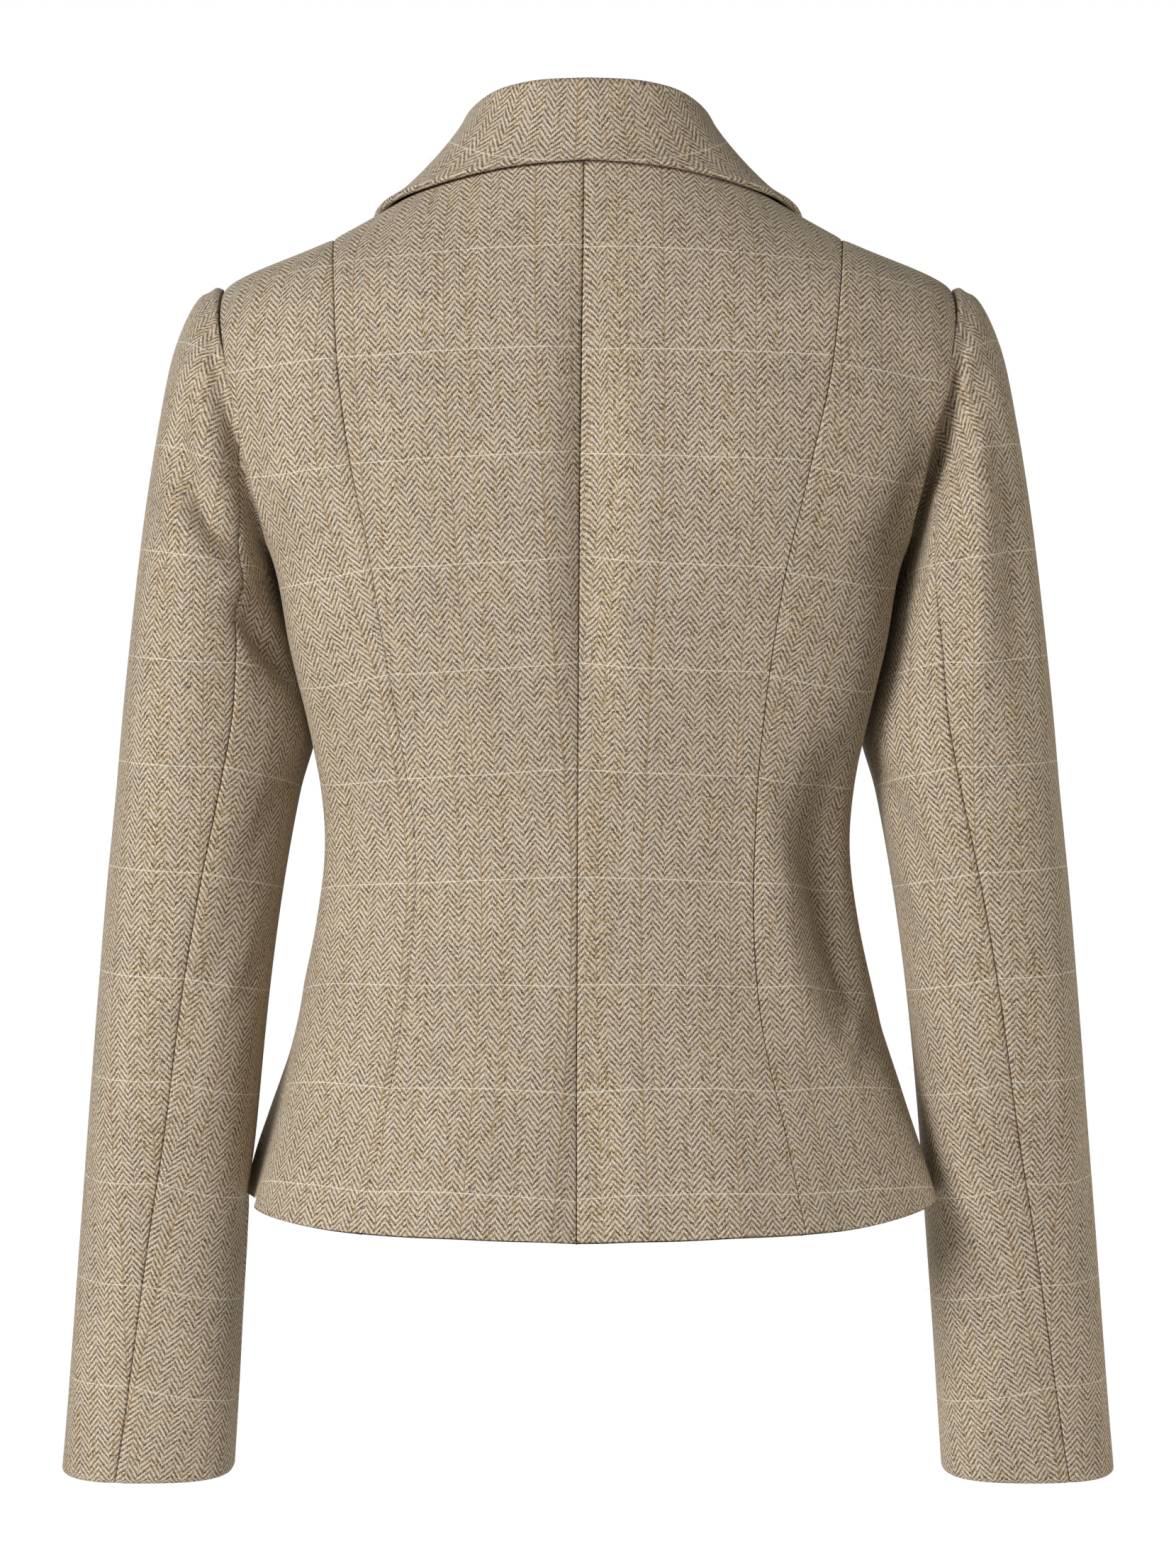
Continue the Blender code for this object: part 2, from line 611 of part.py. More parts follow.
def ring_points(side, ring, lean, turns, square):
    # A closed curve through the outer, back, inner and front points of a ring, squared off between them
    y_mid = 0.5 * (ring.y_back + ring.y_front)
    outer = np.array([ring.x_out, y_mid, ring.z_out])
    inner = np.array([ring.x_in, ring.y_in, ring.z_in])
    back = np.array([ring.x_mid, ring.y_back, ring.z_mid + lean * (ring.y_back - y_mid)])
    front = np.array([ring.x_mid, ring.y_front, ring.z_mid + lean * (ring.y_front - y_mid)])
    cosine, sine = np.cos(turns)[:, None], np.sin(turns)[:, None]
    spoke = cosine * 0.5 * (outer - inner) + sine * 0.5 * (back - front)
    points = 0.25 * (outer + inner + back + front) + spoke * (1.0 + square * np.sin(2.0 * turns)[:, None] ** 2)
    points = points + np.cos(2.0 * turns)[:, None] * 0.25 * (outer + inner - back - front)
    return points * np.array([side, 1.0, 1.0])


def sleeve_control(side):
    turns = sleeve_turns(side)
    rows = [torso_point(side, *armhole_line(turns[0]))]
    middles = np.array([0.5 * (ring.y_back + ring.y_front) for ring in SLEEVE])
    heights = np.array([ring.z_mid for ring in SLEEVE])
    leans = -np.gradient(middles, heights)
    squares = RING_SQUARE * ease(np.arange(len(SLEEVE)) / SQUARE_ROWS)
    for ring, lean, row_turns, square in zip(SLEEVE, leans, turns[1:], squares):
        rows.append(ring_points(side, ring, lean, row_turns, square))
    return turns, np.stack(rows)


def sleeve_fold_heights(side, turns, places, points):
    # Each fold follows a straight line of turns and rows over the surface and fades at its ends
    total = np.zeros(turns.shape)
    share = np.linspace(0.0, 1.0, 41)
    for fold in SLEEVE_FOLDS:
        if fold.side != side:
            continue
        line_turns = np.radians(fold.turn_low + (fold.turn_high - fold.turn_low) * share)
        rows = np.searchsorted(places, fold.low + (fold.high - fold.low) * share)
        columns = np.argmin(np.abs(turns[rows] - line_turns[:, None]), axis=1)
        away = np.linalg.norm(points[:, :, None] - points[rows, columns], axis=-1)
        fade = np.sin(math.pi * share[np.argmin(away, axis=-1)])
        total += fold.height * fade * np.exp(-((away.min(axis=-1) / fold.half_width) ** 2))
    return total


def clear_of_body(side, points, places):
    # Moves what would lie in the body out to its side
    heights = [row.z_side for row in TORSO]
    levels = np.interp(points[..., 2], heights, np.arange(len(TORSO)))
    row = Section(*np.moveaxis(rows_at(TORSO, levels), -1, 0))
    behind = points[..., 1] < row.y_side
    square = np.where(behind, row.square_back, row.square_front)
    deep = (points[..., 1] - row.y_side) / (np.where(behind, row.y_back, row.y_front) - row.y_side)
    deep = np.clip(deep, 0.0, 1.0)
    turns = np.where(behind, -1.0, 1.0) * np.arcsin(deep ** (square / 2.0))
    edge = row.x_side * (1.0 - deep**square) ** (1.0 / square) + fold_heights(side, turns, levels)
    short = edge + SLEEVE_CLEAR - side * points[..., 0]
    apart = ease(places / CLEAR_ROW)[:, None] * np.maximum(short, 0.0)
    return points + side * apart[..., None] * np.array([1.0, 0.0, 0.0])


def closed_normals(side, points):
    along = np.roll(points, -1, axis=1) - np.roll(points, 1, axis=1)
    downward = np.gradient(points, axis=0)
    return side * unit(np.cross(along, downward))


def add_sleeve(side, material):
    turns, control = sleeve_control(side)
    places = np.linspace(0.0, len(control) - 1.0, SLEEVE_ROWS * SLEEVE_FINENESS + 1)
    flat = control.reshape(len(control), -1)
    points = rows_at(flat, places).reshape(len(places), -1, 3)
    row_turns = rows_at(turns, places)
    outward = closed_normals(side, points)
    height = sleeve_fold_heights(side, row_turns, places, points)
    points = clear_of_body(side, points + outward * height[..., None], places)
    points = points[::SLEEVE_FINENESS, ::SLEEVE_FINENESS]
    inner = points - closed_normals(side, points) * CLOTH
    hind = TOP_SLEEVE_COLUMNS
    top = np.arange(0, hind + 1)
    under = np.append(np.arange(hind, points.shape[1]), 0)
    edges = ("left", "right", "bottom")
    for name, columns in (("sleeve_top", top), ("sleeve_under", under)):
        walls = [trimmed(grid[:, columns], 0.5 * SEAM_GAP, edges) for grid in (points, inner)]
        add_wall(f"{name}_{side_word(side)}", walls[0], walls[1], material)


# Buttons


def add_button(number, level, material):
    turn = turn_at(np.array(0.0), level, False)
    outward = torso_normal(1, turn, level)
    base = torso_point(1, turn, level) + outward * (CLOTH + LAP_GAP + LAY_GAP)
    across = unit(np.cross(np.array([0.0, 0.0, 1.0]), outward))
    upward = np.cross(outward, across)
    profile = (
        (BUTTON_RADIUS - 0.0012, 0.0),
        (BUTTON_RADIUS, 0.0012),
        (BUTTON_RADIUS, BUTTON_DEPTH - 0.0010),
        (BUTTON_RADIUS - 0.0010, BUTTON_DEPTH),
        (BUTTON_RADIUS - BUTTON_RIM, BUTTON_DEPTH),
        (BUTTON_RADIUS - BUTTON_RIM - 0.0010, BUTTON_DEPTH - BUTTON_DISH),
    )
    points, faces = [], []
    for radius, height in profile:
        for angle in 2.0 * math.pi * np.arange(BUTTON_SEGMENTS) / BUTTON_SEGMENTS:
            spoke = across * math.cos(angle) + upward * math.sin(angle)
            points.append(base + spoke * radius + outward * height)
    for ring in range(len(profile) - 1):
        for step in range(BUTTON_SEGMENTS):
            a = ring * BUTTON_SEGMENTS + step
            b = ring * BUTTON_SEGMENTS + (step + 1) % BUTTON_SEGMENTS
            faces.append((a, b, b + BUTTON_SEGMENTS))
            faces.append((a, b + BUTTON_SEGMENTS, a + BUTTON_SEGMENTS))
    bottom, top = len(points), len(points) + 1
    points += [base, base + outward * (BUTTON_DEPTH - BUTTON_DISH)]
    last = (len(profile) - 1) * BUTTON_SEGMENTS
    for step in range(BUTTON_SEGMENTS):
        following = (step + 1) % BUTTON_SEGMENTS
        faces.append((following, step, bottom))
        faces.append((last + step, last + following, top))
    add_mesh(f"button_{number}", np.array(points), faces, material)


def build():
    clear_scene()
    tweed = make_material("tweed", TWEED, 0.92)
    horn = make_material("horn", HORN, 0.35)
    for side in (-1, 1):
        add_back(side, tweed)
        add_side_back(side, tweed)
        add_front(side, tweed)
        add_lapel(side, tweed)
        add_sleeve(side, tweed)
    add_collar(tweed)
    for number, level in enumerate(BUTTON_LEVELS, start=1):
        add_button(number, level, horn)


build()
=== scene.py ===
# Dresses the short tweed jacket: fine cloth shells, herringbone with an overcheck, buttons, nap
import math

import bpy
import numpy as np
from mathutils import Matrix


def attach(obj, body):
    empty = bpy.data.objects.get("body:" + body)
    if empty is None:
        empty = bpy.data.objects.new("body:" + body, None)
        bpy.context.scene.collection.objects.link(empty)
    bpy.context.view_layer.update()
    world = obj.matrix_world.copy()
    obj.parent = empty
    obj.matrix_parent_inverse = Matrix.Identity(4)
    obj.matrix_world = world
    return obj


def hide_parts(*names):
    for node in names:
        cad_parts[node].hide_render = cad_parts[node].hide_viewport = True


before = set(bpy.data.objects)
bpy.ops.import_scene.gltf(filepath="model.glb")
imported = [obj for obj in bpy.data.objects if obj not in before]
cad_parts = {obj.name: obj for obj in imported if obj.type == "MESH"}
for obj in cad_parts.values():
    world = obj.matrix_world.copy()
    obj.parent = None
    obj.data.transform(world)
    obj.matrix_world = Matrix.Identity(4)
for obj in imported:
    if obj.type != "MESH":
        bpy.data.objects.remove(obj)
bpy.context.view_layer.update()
print("frame loaded:", len(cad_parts), "nodes")

# Numbers and tables shared by every panel; metres and degrees

cloth = {
    "thickness": 0.0020,
    "seamGap": 0.0002,  # between two sewn panels
    "seamDepth": 0.0006,  # how far a seam draws the cloth in
    "seamReach": 0.0024,
    "seamShape": 1.5,
    "turnRadius": 0.0009,  # how sharply the cloth turns in at a seam
    "turnDepth": 0.0018,
    "seamBulge": 0.12,  # share of a round edge where two panels meet
    "freeBulge": 0.80,  # share of a round edge at a hem or a front edge
    "hemDepth": 0.034,  # hem turned up inside
    "hemExtra": 0.0011,
    "hemBlend": 0.003,
    "edgeShares": (0.04, 0.10, 0.20, 0.36, 0.62),  # extra rows and columns close to an edge
    "rimTurns": (30.0, 65.0, 100.0, 140.0),  # steps round an edge
    "rimDrift": 1.2,  # how far the pattern may lean there
    "flatSteps": 900,  # most steps when a panel is laid flat
    "flatMiss": 1e-11,
}

body = {
    "underarm": 7.0,  # levels count the rows of the torso table, from the hem up
    "tip": 10.0,
    "princessTop": 11.0,
    "neck": 12.0,
    "lapelBreak": 5.2,
    "waist": 3.55,  # level where the weft runs straight round the body
    "armholeBack": math.radians(30.0),
    "armholeFront": math.radians(29.0),
    "gorgeX": 0.0395,
    "frontOverlap": 0.018,
    "lapBlend": 0.025,
    "lapGap": 0.0014,
    "lapTop": -0.165,
    "lapFade": 0.060,
    "fineness": 8,  # rows for each row of the coarse solids
    "rowsBelowArm": 10,
    "rowsArmhole": 12,
    "neckColumns": 4,
    "innerShoulderColumns": 2,
    "outerShoulderColumns": 5,
    "frontFineness": 5,  # columns of a front for each of those
    "endReach": 6,
    "drawFrom": -0.75,  # height in the armhole, -1 to 1, where its seam starts to be drawn in
    "drawOver": 0.6,
    "grainStep": 0.08,
    "grainEdge": 0.97,  # share of the body's width that a gold line keeps to
}

# Rows below and beside the armhole, the middle of its height, and both ends of the inner shoulder
rowsBelow, rowsBeside = (body[key] * body["fineness"] for key in ("rowsBelowArm", "rowsArmhole"))
lowerLevels = body["underarm"] * np.arange(rowsBelow + 1) / rowsBelow
armMiddle, armHalf = 0.5 * (body["underarm"] + body["tip"]), 0.5 * (body["tip"] - body["underarm"])
neckPoint, midPoint = (0.0, body["neck"]), (0.0, body["princessTop"])

torso = {
    "columns": ("zSide", "xSide", "ySide", "zBack", "yBack", "zFront", "yFront",
                "squareBack", "squareFront"),
    "rows": (
        (-0.5425, 0.1726, -0.016, -0.5575, -0.124, -0.554, 0.124, 2.30, 2.20),
        (-0.500, 0.1605, -0.016, -0.507, -0.112, -0.505, 0.118, 2.30, 2.20),
        (-0.450, 0.1495, -0.017, -0.455, -0.097, -0.454, 0.112, 2.20, 2.20),
        (-0.400, 0.1390, -0.018, -0.403, -0.086, -0.403, 0.108, 2.05, 2.20),
        (-0.356, 0.1348, -0.021, -0.357, -0.081, -0.357, 0.107, 2.00, 2.20),
        (-0.309, 0.1405, -0.027, -0.310, -0.085, -0.310, 0.112, 2.20, 2.20),
        (-0.262, 0.1505, -0.027, -0.264, -0.093, -0.264, 0.120, 2.70, 2.20),
        (-0.212, 0.1615, -0.012, -0.216, -0.100, -0.218, 0.124, 3.00, 2.20),
        (-0.165, 0.1890, 0.002, -0.170, -0.104, -0.175, 0.118, 3.00, 2.20),
        (-0.118, 0.2000, 0.002, -0.126, -0.102, -0.135, 0.104, 2.90, 2.20),
        (-0.0762, 0.1870, 0.002, -0.085, -0.095, -0.105, 0.086, 2.60, 2.20),
        (-0.0530, 0.1300, 0.004, -0.043, -0.081, -0.086, 0.066, 2.25, 2.10),
        (-0.0245, 0.0720, 0.006, 0.000, -0.062, -0.070, 0.048, 2.00, 2.00),
    ),
}

backSeams = {
    "columns": ("centreX", "rightX", "leftX"),
    "rows": (
        (-0.0055, 0.1085, 0.1163),
        (-0.0055, 0.0986, 0.1034),
        (-0.0054, 0.0873, 0.0942),
        (-0.0053, 0.0829, 0.0877),
        (-0.0052, 0.0835, 0.0874),
        (-0.0048, 0.0869, 0.0941),
        (-0.0043, 0.0924, 0.1020),
        (-0.0040, 0.1005, 0.1099),
        (-0.0037, 0.1120, 0.1198),
        (-0.0032, 0.1219, 0.1255),
        (-0.0027, 0.1271, 0.1281),
        (-0.0022, 0.1300, 0.1300),
        (-0.0019, 0.1300, 0.1300),
    ),
}

# Folds and creases placed along lines of turns and levels
# turns are 0 at the side, -90 at the centre back and 90 at the centre front
bodyFolds = {
    "columns": ("side", "turnLow", "low", "turnHigh", "high", "halfWidth", "height"),
    "rows": (
        (1, -88.6, -1.6, -89.2, 2.6, 0.011, -0.0030),  # the largest folds, as in the solids
        (-1, -87.8, -1.6, -88.8, 2.4, 0.010, -0.0026),
        (1, -14.0, 4.6, -22.0, 8.8, 0.022, 0.0025),
        (-1, -14.0, 4.6, -22.0, 8.8, 0.022, 0.0030),
        (1, 18.0, 4.2, 12.0, 7.6, 0.030, -0.0035),
        (-1, 18.0, 4.2, 12.0, 7.6, 0.030, -0.0035),
        (1, -9.0, -1.8, -5.0, 1.9, 0.024, 0.0065),
        (-1, 23.0, -1.8, 15.0, 2.0, 0.020, 0.0148),
        (-1, -1.0, -1.8, -2.0, 2.4, 0.013, -0.0050),
        (1, -90.0, 4.3, -90.0, 10.8, 0.012, -0.0075),  # upper back
        (1, -86.4, 4.5, -87.4, 10.2, 0.022, 0.0020),
        (-1, -60.0, 6.6, -68.0, 10.0, 0.018, -0.0031),
        (1, -78.0, 6.0, -72.0, 9.4, 0.024, 0.0020),
        (-1, -74.0, 5.5, -78.0, 8.5, 0.020, -0.0017),
        (1, -18.0, 6.4, -50.0, 9.9, 0.014, -0.0034),  # drag lines into the armholes
        (-1, -20.0, 6.6, -47.0, 9.8, 0.013, -0.0031),
        (1, -24.0, 1.2, -44.0, 3.4, 0.010, -0.0024),  # waist and hips
        (1, -16.0, 1.9, -34.0, 3.9, 0.008, -0.0019),
        (-1, -30.0, 2.6, -46.0, 4.6, 0.011, -0.0020),
        (-1, -22.0, 3.2, -30.0, 5.3, 0.009, -0.0017),
        (1, -36.0, 3.4, -50.0, 5.2, 0.012, -0.0020),
        (1, -22.0, 1.3, -26.0, 5.2, 0.0200, -0.0110),
        (1, -44.0, 1.4, -46.0, 5.4, 0.014, 0.0042),
        (1, -38.0, 1.5, -12.0, 2.3, 0.010, 0.0030),
        (1, -66.0, -1.6, -70.0, 2.2, 0.020, 0.0031),  # waves of the hem
        (-1, -68.0, -1.5, -72.0, 2.0, 0.022, 0.0027),
        (-1, -42.0, -1.4, -46.0, 1.8, 0.016, -0.0024),
        (1, -40.0, -1.5, -44.0, 2.0, 0.018, -0.0027),
        (1, 62.0, 4.1, 36.0, 5.2, 0.010, -0.0024),  # fronts: pulls at the buttons, chest, hem
        (-1, 60.0, 4.3, 34.0, 5.6, 0.010, -0.0022),
        (1, 66.0, 2.4, 40.0, 3.6, 0.011, 0.0024),
        (-1, 64.0, 2.2, 42.0, 3.5, 0.011, -0.0020),
        (1, 36.0, 5.4, 26.0, 8.6, 0.022, 0.0037),
        (-1, 38.0, 5.6, 28.0, 8.8, 0.024, 0.0034),
        (1, 14.0, 6.2, 40.0, 9.4, 0.013, -0.0027),
        (-1, 15.0, 6.0, 38.0, 9.2, 0.013, -0.0031),
        (1, 50.0, -1.6, 54.0, 2.2, 0.020, 0.0037),
        (-1, 46.0, -1.5, 50.0, 2.0, 0.022, -0.0031),
        (1, 24.0, -1.5, 30.0, 1.8, 0.018, -0.0027),
    ),
}


def rowsAt(rows, place):
    # smooth values between the rows of a table; place counts rows
    rows = np.asarray(rows, dtype=float)
    place = np.asarray(place, dtype=float)
    last = len(rows) - 1
    first = np.clip(np.floor(place).astype(int), 0, last - 1)
    part = (place - first)[..., None]
    start, end = rows[first], rows[first + 1]
    before = np.where((first > 0)[..., None], rows[np.maximum(first - 1, 0)], 2.0 * start - end)
    after = np.where((first < last - 1)[..., None], rows[np.minimum(first + 2, last)], 2.0 * end - start)
    slopeStart, slopeEnd = 0.5 * (end - before), 0.5 * (after - start)
    cubic = 2.0 * start - 2.0 * end + slopeStart + slopeEnd
    square = 3.0 * end - 3.0 * start - 2.0 * slopeStart - slopeEnd
    return ((cubic * part + square) * part + slopeStart) * part + start


def tableRow(table, place):
    return dict(zip(table["columns"], np.moveaxis(rowsAt(table["rows"], place), -1, 0)))


def named(table):
    return [dict(zip(table["columns"], row)) for row in table["rows"]]


def curveAt(pairs, place):
    # second value of a short table of pairs, smooth, at any first value
    known = [pair[0] for pair in pairs]
    return rowsAt(pairs, np.interp(place, known, np.arange(len(pairs))))[..., 1]


def unit(vectors):
    return vectors / np.maximum(np.linalg.norm(vectors, axis=-1, keepdims=True), 1e-12)


def ease(value):
    value = np.clip(value, 0.0, 1.0)
    return value * value * (3.0 - 2.0 * value)


# Torso surface


def torsoRing(side, turn, level):
    row = tableRow(torso, level)
    cosine, sine = np.cos(turn), np.sin(turn)
    behind = sine < 0.0
    square = np.where(behind, row["squareBack"], row["squareFront"])
    across = np.sign(cosine) * np.abs(cosine) ** (2.0 / square)
    deep = np.abs(sine) ** (2.0 / square)
    y = row["ySide"] + (np.where(behind, row["yBack"], row["yFront"]) - row["ySide"]) * deep
    z = row["zSide"] + (np.where(behind, row["zBack"], row["zFront"]) - row["zSide"]) * deep
    return np.stack([side * row["xSide"] * across, y, z], axis=-1)


def normalsOf(surface, side, turn, level):
    stepTurn, stepLevel = 0.003, 0.02
    along = surface(side, turn + stepTurn, level) - surface(side, turn - stepTurn, level)
    upward = surface(side, turn, level + stepLevel) - surface(side, turn, level - stepLevel)
    return side * unit(np.cross(along, upward))


def foldHeights(side, turn, level):
    points = torsoRing(side, turn, level)
    total = np.zeros(np.shape(turn))
    for fold in named(bodyFolds):
        part = np.clip((level - fold["low"]) / (fold["high"] - fold["low"]), 0.0, 1.0)
        middle = np.radians(fold["turnLow"] + (fold["turnHigh"] - fold["turnLow"]) * part)
        away = np.linalg.norm(points - torsoRing(fold["side"], middle, level), axis=-1)
        height = fold["height"] * np.sin(math.pi * part)
        total = total + height * np.exp(-((away / fold["halfWidth"]) ** 2))
    return total


def torsoPoint(side, turn, level):
    turn, level = np.broadcast_arrays(np.asarray(turn, float), np.asarray(level, float))
    outward = normalsOf(torsoRing, side, turn, level)
    return torsoRing(side, turn, level) + outward * foldHeights(side, turn, level)[..., None]


def torsoNormal(side, turn, level):
    turn, level = np.broadcast_arrays(np.asarray(turn, float), np.asarray(level, float))
    return normalsOf(torsoPoint, side, turn, level)


def turnAt(x, level, behind):
    row = tableRow(torso, level)
    square = row["squareBack"] if behind else row["squareFront"]
    share = np.clip(x / row["xSide"], -1.0, 1.0)
    angle = np.arccos(np.sign(share) * np.abs(share) ** (square / 2.0))
    return -angle if behind else angle


# Seam lines, as turns and levels from hem to top


def rowLevels(top, gather=0.0):
    share = np.arange(1, rowsBeside + 1) / rowsBeside
    share = share + gather * share * (1.0 - share)
    return np.concatenate([lowerLevels, body["underarm"] + (top - body["underarm"]) * share])


def armholeLine(angle):
    # angle 0 at the shoulder tip, 90 degrees at the back of the arm
    width = np.where(np.sin(angle) > 0.0, body["armholeBack"], body["armholeFront"])
    return -width * np.sin(angle), armMiddle + armHalf * np.cos(angle)


def centreBackLine(side):
    levels = rowLevels(body["neck"])
    x = side * tableRow(backSeams, levels)["centreX"]
    return np.stack([turnAt(x, levels, True), levels], axis=-1)


def princessLine(side):
    levels = rowLevels(body["princessTop"], 1.0)
    x = tableRow(backSeams, levels)["rightX" if side > 0 else "leftX"]
    turns = turnAt(x, levels, True)
    turns[-1] = 0.0
    return np.stack([turns, levels], axis=-1)


def sideLine(behind):
    angles = math.pi * (1.0 - np.arange(1, rowsBeside + 1) / rowsBeside)
    turns, levels = armholeLine(angles if behind else -angles)
    turns = np.concatenate([np.zeros(rowsBelow + 1), turns])
    turns[-1] = 0.0
    return np.stack([turns, np.concatenate([lowerLevels, levels])], axis=-1)


def frontEdgeX(level):
    low, high = (tableRow(torso, place)["zFront"] for place in (body["lapelBreak"], body["neck"]))
    share = np.clip((tableRow(torso, level)["zFront"] - low) / (high - low), 0.0, 1.0)
    return -body["frontOverlap"] + (body["gorgeX"] + body["frontOverlap"]) * share


def frontEdgeLine():
    levels = rowLevels(body["neck"])
    return np.stack([turnAt(frontEdgeX(levels), levels, False), levels], axis=-1)


def straight(start, end, steps):
    share = np.linspace(0.0, 1.0, steps + 1)[:, None]
    return np.asarray(start) + (np.asarray(end) - np.asarray(start)) * share


def joined(*lines):
    return np.concatenate([lines[0]] + [line[1:] for line in lines[1:]])


def patch(bottom, top, left, right):
    across = np.linspace(0.0, 1.0, len(bottom))[:, None]
    upward = np.linspace(0.0, 1.0, len(left))[:, None, None]
    sides = left[:, None] + (right - left)[:, None] * across
    bottomBend = bottom - (bottom[0] + (bottom[-1] - bottom[0]) * across)
    topBend = top - (top[0] + (top[-1] - top[0]) * across)
    return sides + bottomBend * (1.0 - upward) ** body["endReach"] + topBend * upward ** body["endReach"]


def closerEdges(grid, axis):
    # extra rows or columns just inside both ends of a grid
    grid = np.moveaxis(grid, axis, 0)
    shares = np.array(cloth["edgeShares"]).reshape((-1,) + (1,) * (grid.ndim - 1))
    first = grid[0] + (grid[1] - grid[0]) * shares
    last = grid[-1] + (grid[-2] - grid[-1]) * shares[::-1]
    return np.moveaxis(np.concatenate([grid[:1], first, grid[1:-1], last, grid[-1:]]), 0, axis)


# Walls, seams and the flat pattern of a panel


def runs(points, axis):
    # distance along the rows or columns of a grid from its first point
    steps = np.linalg.norm(np.diff(points, axis=axis), axis=-1)
    zero = np.zeros_like(np.take(steps, [0], axis=axis))
    return np.concatenate([zero, np.cumsum(steps, axis=axis)], axis=axis)


def edgeDistances(points):
    across, upward = runs(points, 1), runs(points, 0)
    return {"left": across, "right": across[:, -1:] - across,
            "bottom": upward, "top": upward[-1:] - upward}


def seamDip(distance):
    soft = cloth["seamDepth"] * np.exp(-((distance / cloth["seamReach"]) ** cloth["seamShape"]))
    near = np.clip(1.0 - distance / cloth["turnRadius"], 0.0, 1.0)
    return soft + cloth["turnDepth"] * (1.0 - np.sqrt(1.0 - near * near))


edgeCells = {  # an edge of a grid, and the line of points beside it
    "bottom": (np.s_[0], np.s_[1]),
    "top": (np.s_[-1], np.s_[-2]),
    "left": (np.s_[:, 0], np.s_[:, 1]),
    "right": (np.s_[:, -1], np.s_[:, -2]),
}


def trimmed(grid, distance, edges):
    result = grid.copy()
    for edge in edges:
        spot, beside = edgeCells[edge]
        result[spot] += unit(grid[beside] - grid[spot]) * distance
    return result


def panelWalls(points, outward, seams, hem=None, armhole=None):
    # outer and inner wall; armhole gives an edge and how much of its seam is drawn in at each point
    distances = edgeDistances(points)
    strengths = dict([armhole]) if armhole else {}
    dip = np.zeros(points.shape[:2])
    for edge in seams:
        dip = dip + seamDip(distances[edge]) * strengths.get(edge, 1.0)
    outer = points - outward * dip[..., None]
    thick = np.full(points.shape[:2], cloth["thickness"])
    if hem:
        turnedUp = ease((cloth["hemDepth"] - distances[hem]) / cloth["hemBlend"])
        thick = thick + cloth["hemExtra"] * turnedUp
    inner = outer - outward * thick[..., None]
    walls = [trimmed(grid, 0.5 * cloth["seamGap"], seams) for grid in (outer, inner)]
    if hem:
        roundEdge = 0.5 * cloth["freeBulge"] * (cloth["thickness"] + cloth["hemExtra"])
        walls = [trimmed(grid, roundEdge, (hem,)) for grid in walls]
    return walls


def cotangent(tip, one, two):
    first, second = one - tip, two - tip
    return 0.5 * np.sum(first * second, axis=-1) / np.linalg.norm(np.cross(first, second), axis=-1)


def gridEdges(values):
    # steps across, up and along the diagonal of each cell
    return values[:, 1:] - values[:, :-1], values[1:] - values[:-1], values[1:, 1:] - values[:-1, :-1]


def gathered(across, upward, diagonal, sign=-1.0):
    # what the three kinds of edges add up to at each point
    total = np.zeros((across.shape[0], upward.shape[1]))
    total[:, 1:] += across
    total[:, :-1] += sign * across
    total[1:] += upward
    total[:-1] += sign * upward
    total[1:, 1:] += diagonal
    total[:-1, :-1] += sign * diagonal
    return total


def edgeHolds(points):
    # how strongly each edge holds, from the triangles of the grid
    a, b, c, d = points[:-1, :-1], points[:-1, 1:], points[1:, 1:], points[1:, :-1]
    across, upward = np.zeros(points[:, 1:].shape[:2]), np.zeros(points[1:].shape[:2])
    across[:-1] += cotangent(c, a, b)
    across[1:] += cotangent(a, c, d)
    upward[:, :-1] += cotangent(c, a, d)
    upward[:, 1:] += cotangent(a, b, c)
    return across, upward, cotangent(b, a, c) + cotangent(d, a, c)


def spread(points, way, start=None, guess=None):
    # values over a grid that rise along a direction, by least squares
    # start gives those of the first column
    holds = edgeHolds(points)
    middles = (0.5 * (way[:, 1:] + way[:, :-1]), 0.5 * (way[1:] + way[:-1]),
               0.5 * (way[1:, 1:] + way[:-1, :-1]))
    wanted = gathered(*(hold * np.sum(step * middle, axis=-1)
                        for hold, step, middle in zip(holds, gridEdges(points), middles)))

    def applied(values):
        return gathered(*(hold * step for hold, step in zip(holds, gridEdges(values))))

    free = np.ones(points.shape[:2])
    values = np.zeros(points.shape[:2]) if guess is None else guess.copy()
    if start is not None:
        values[:, 0] = start
        free[:, 0] = 0.0
    weight = np.maximum(gathered(*holds, 1.0), 1e-6)
    left = free * (wanted - applied(values))
    scaled = left / weight
    step, size = scaled.copy(), float(np.sum(left * scaled))
    for _ in range(cloth["flatSteps"]):
        if size < cloth["flatMiss"]:
            break
        moved = free * applied(step)
        share = size / float(np.sum(step * moved))
        values += share * step
        left -= share * moved
        scaled = left / weight
        bigger = float(np.sum(left * scaled))
        step = scaled + (bigger / size) * step
        size = bigger
    return values


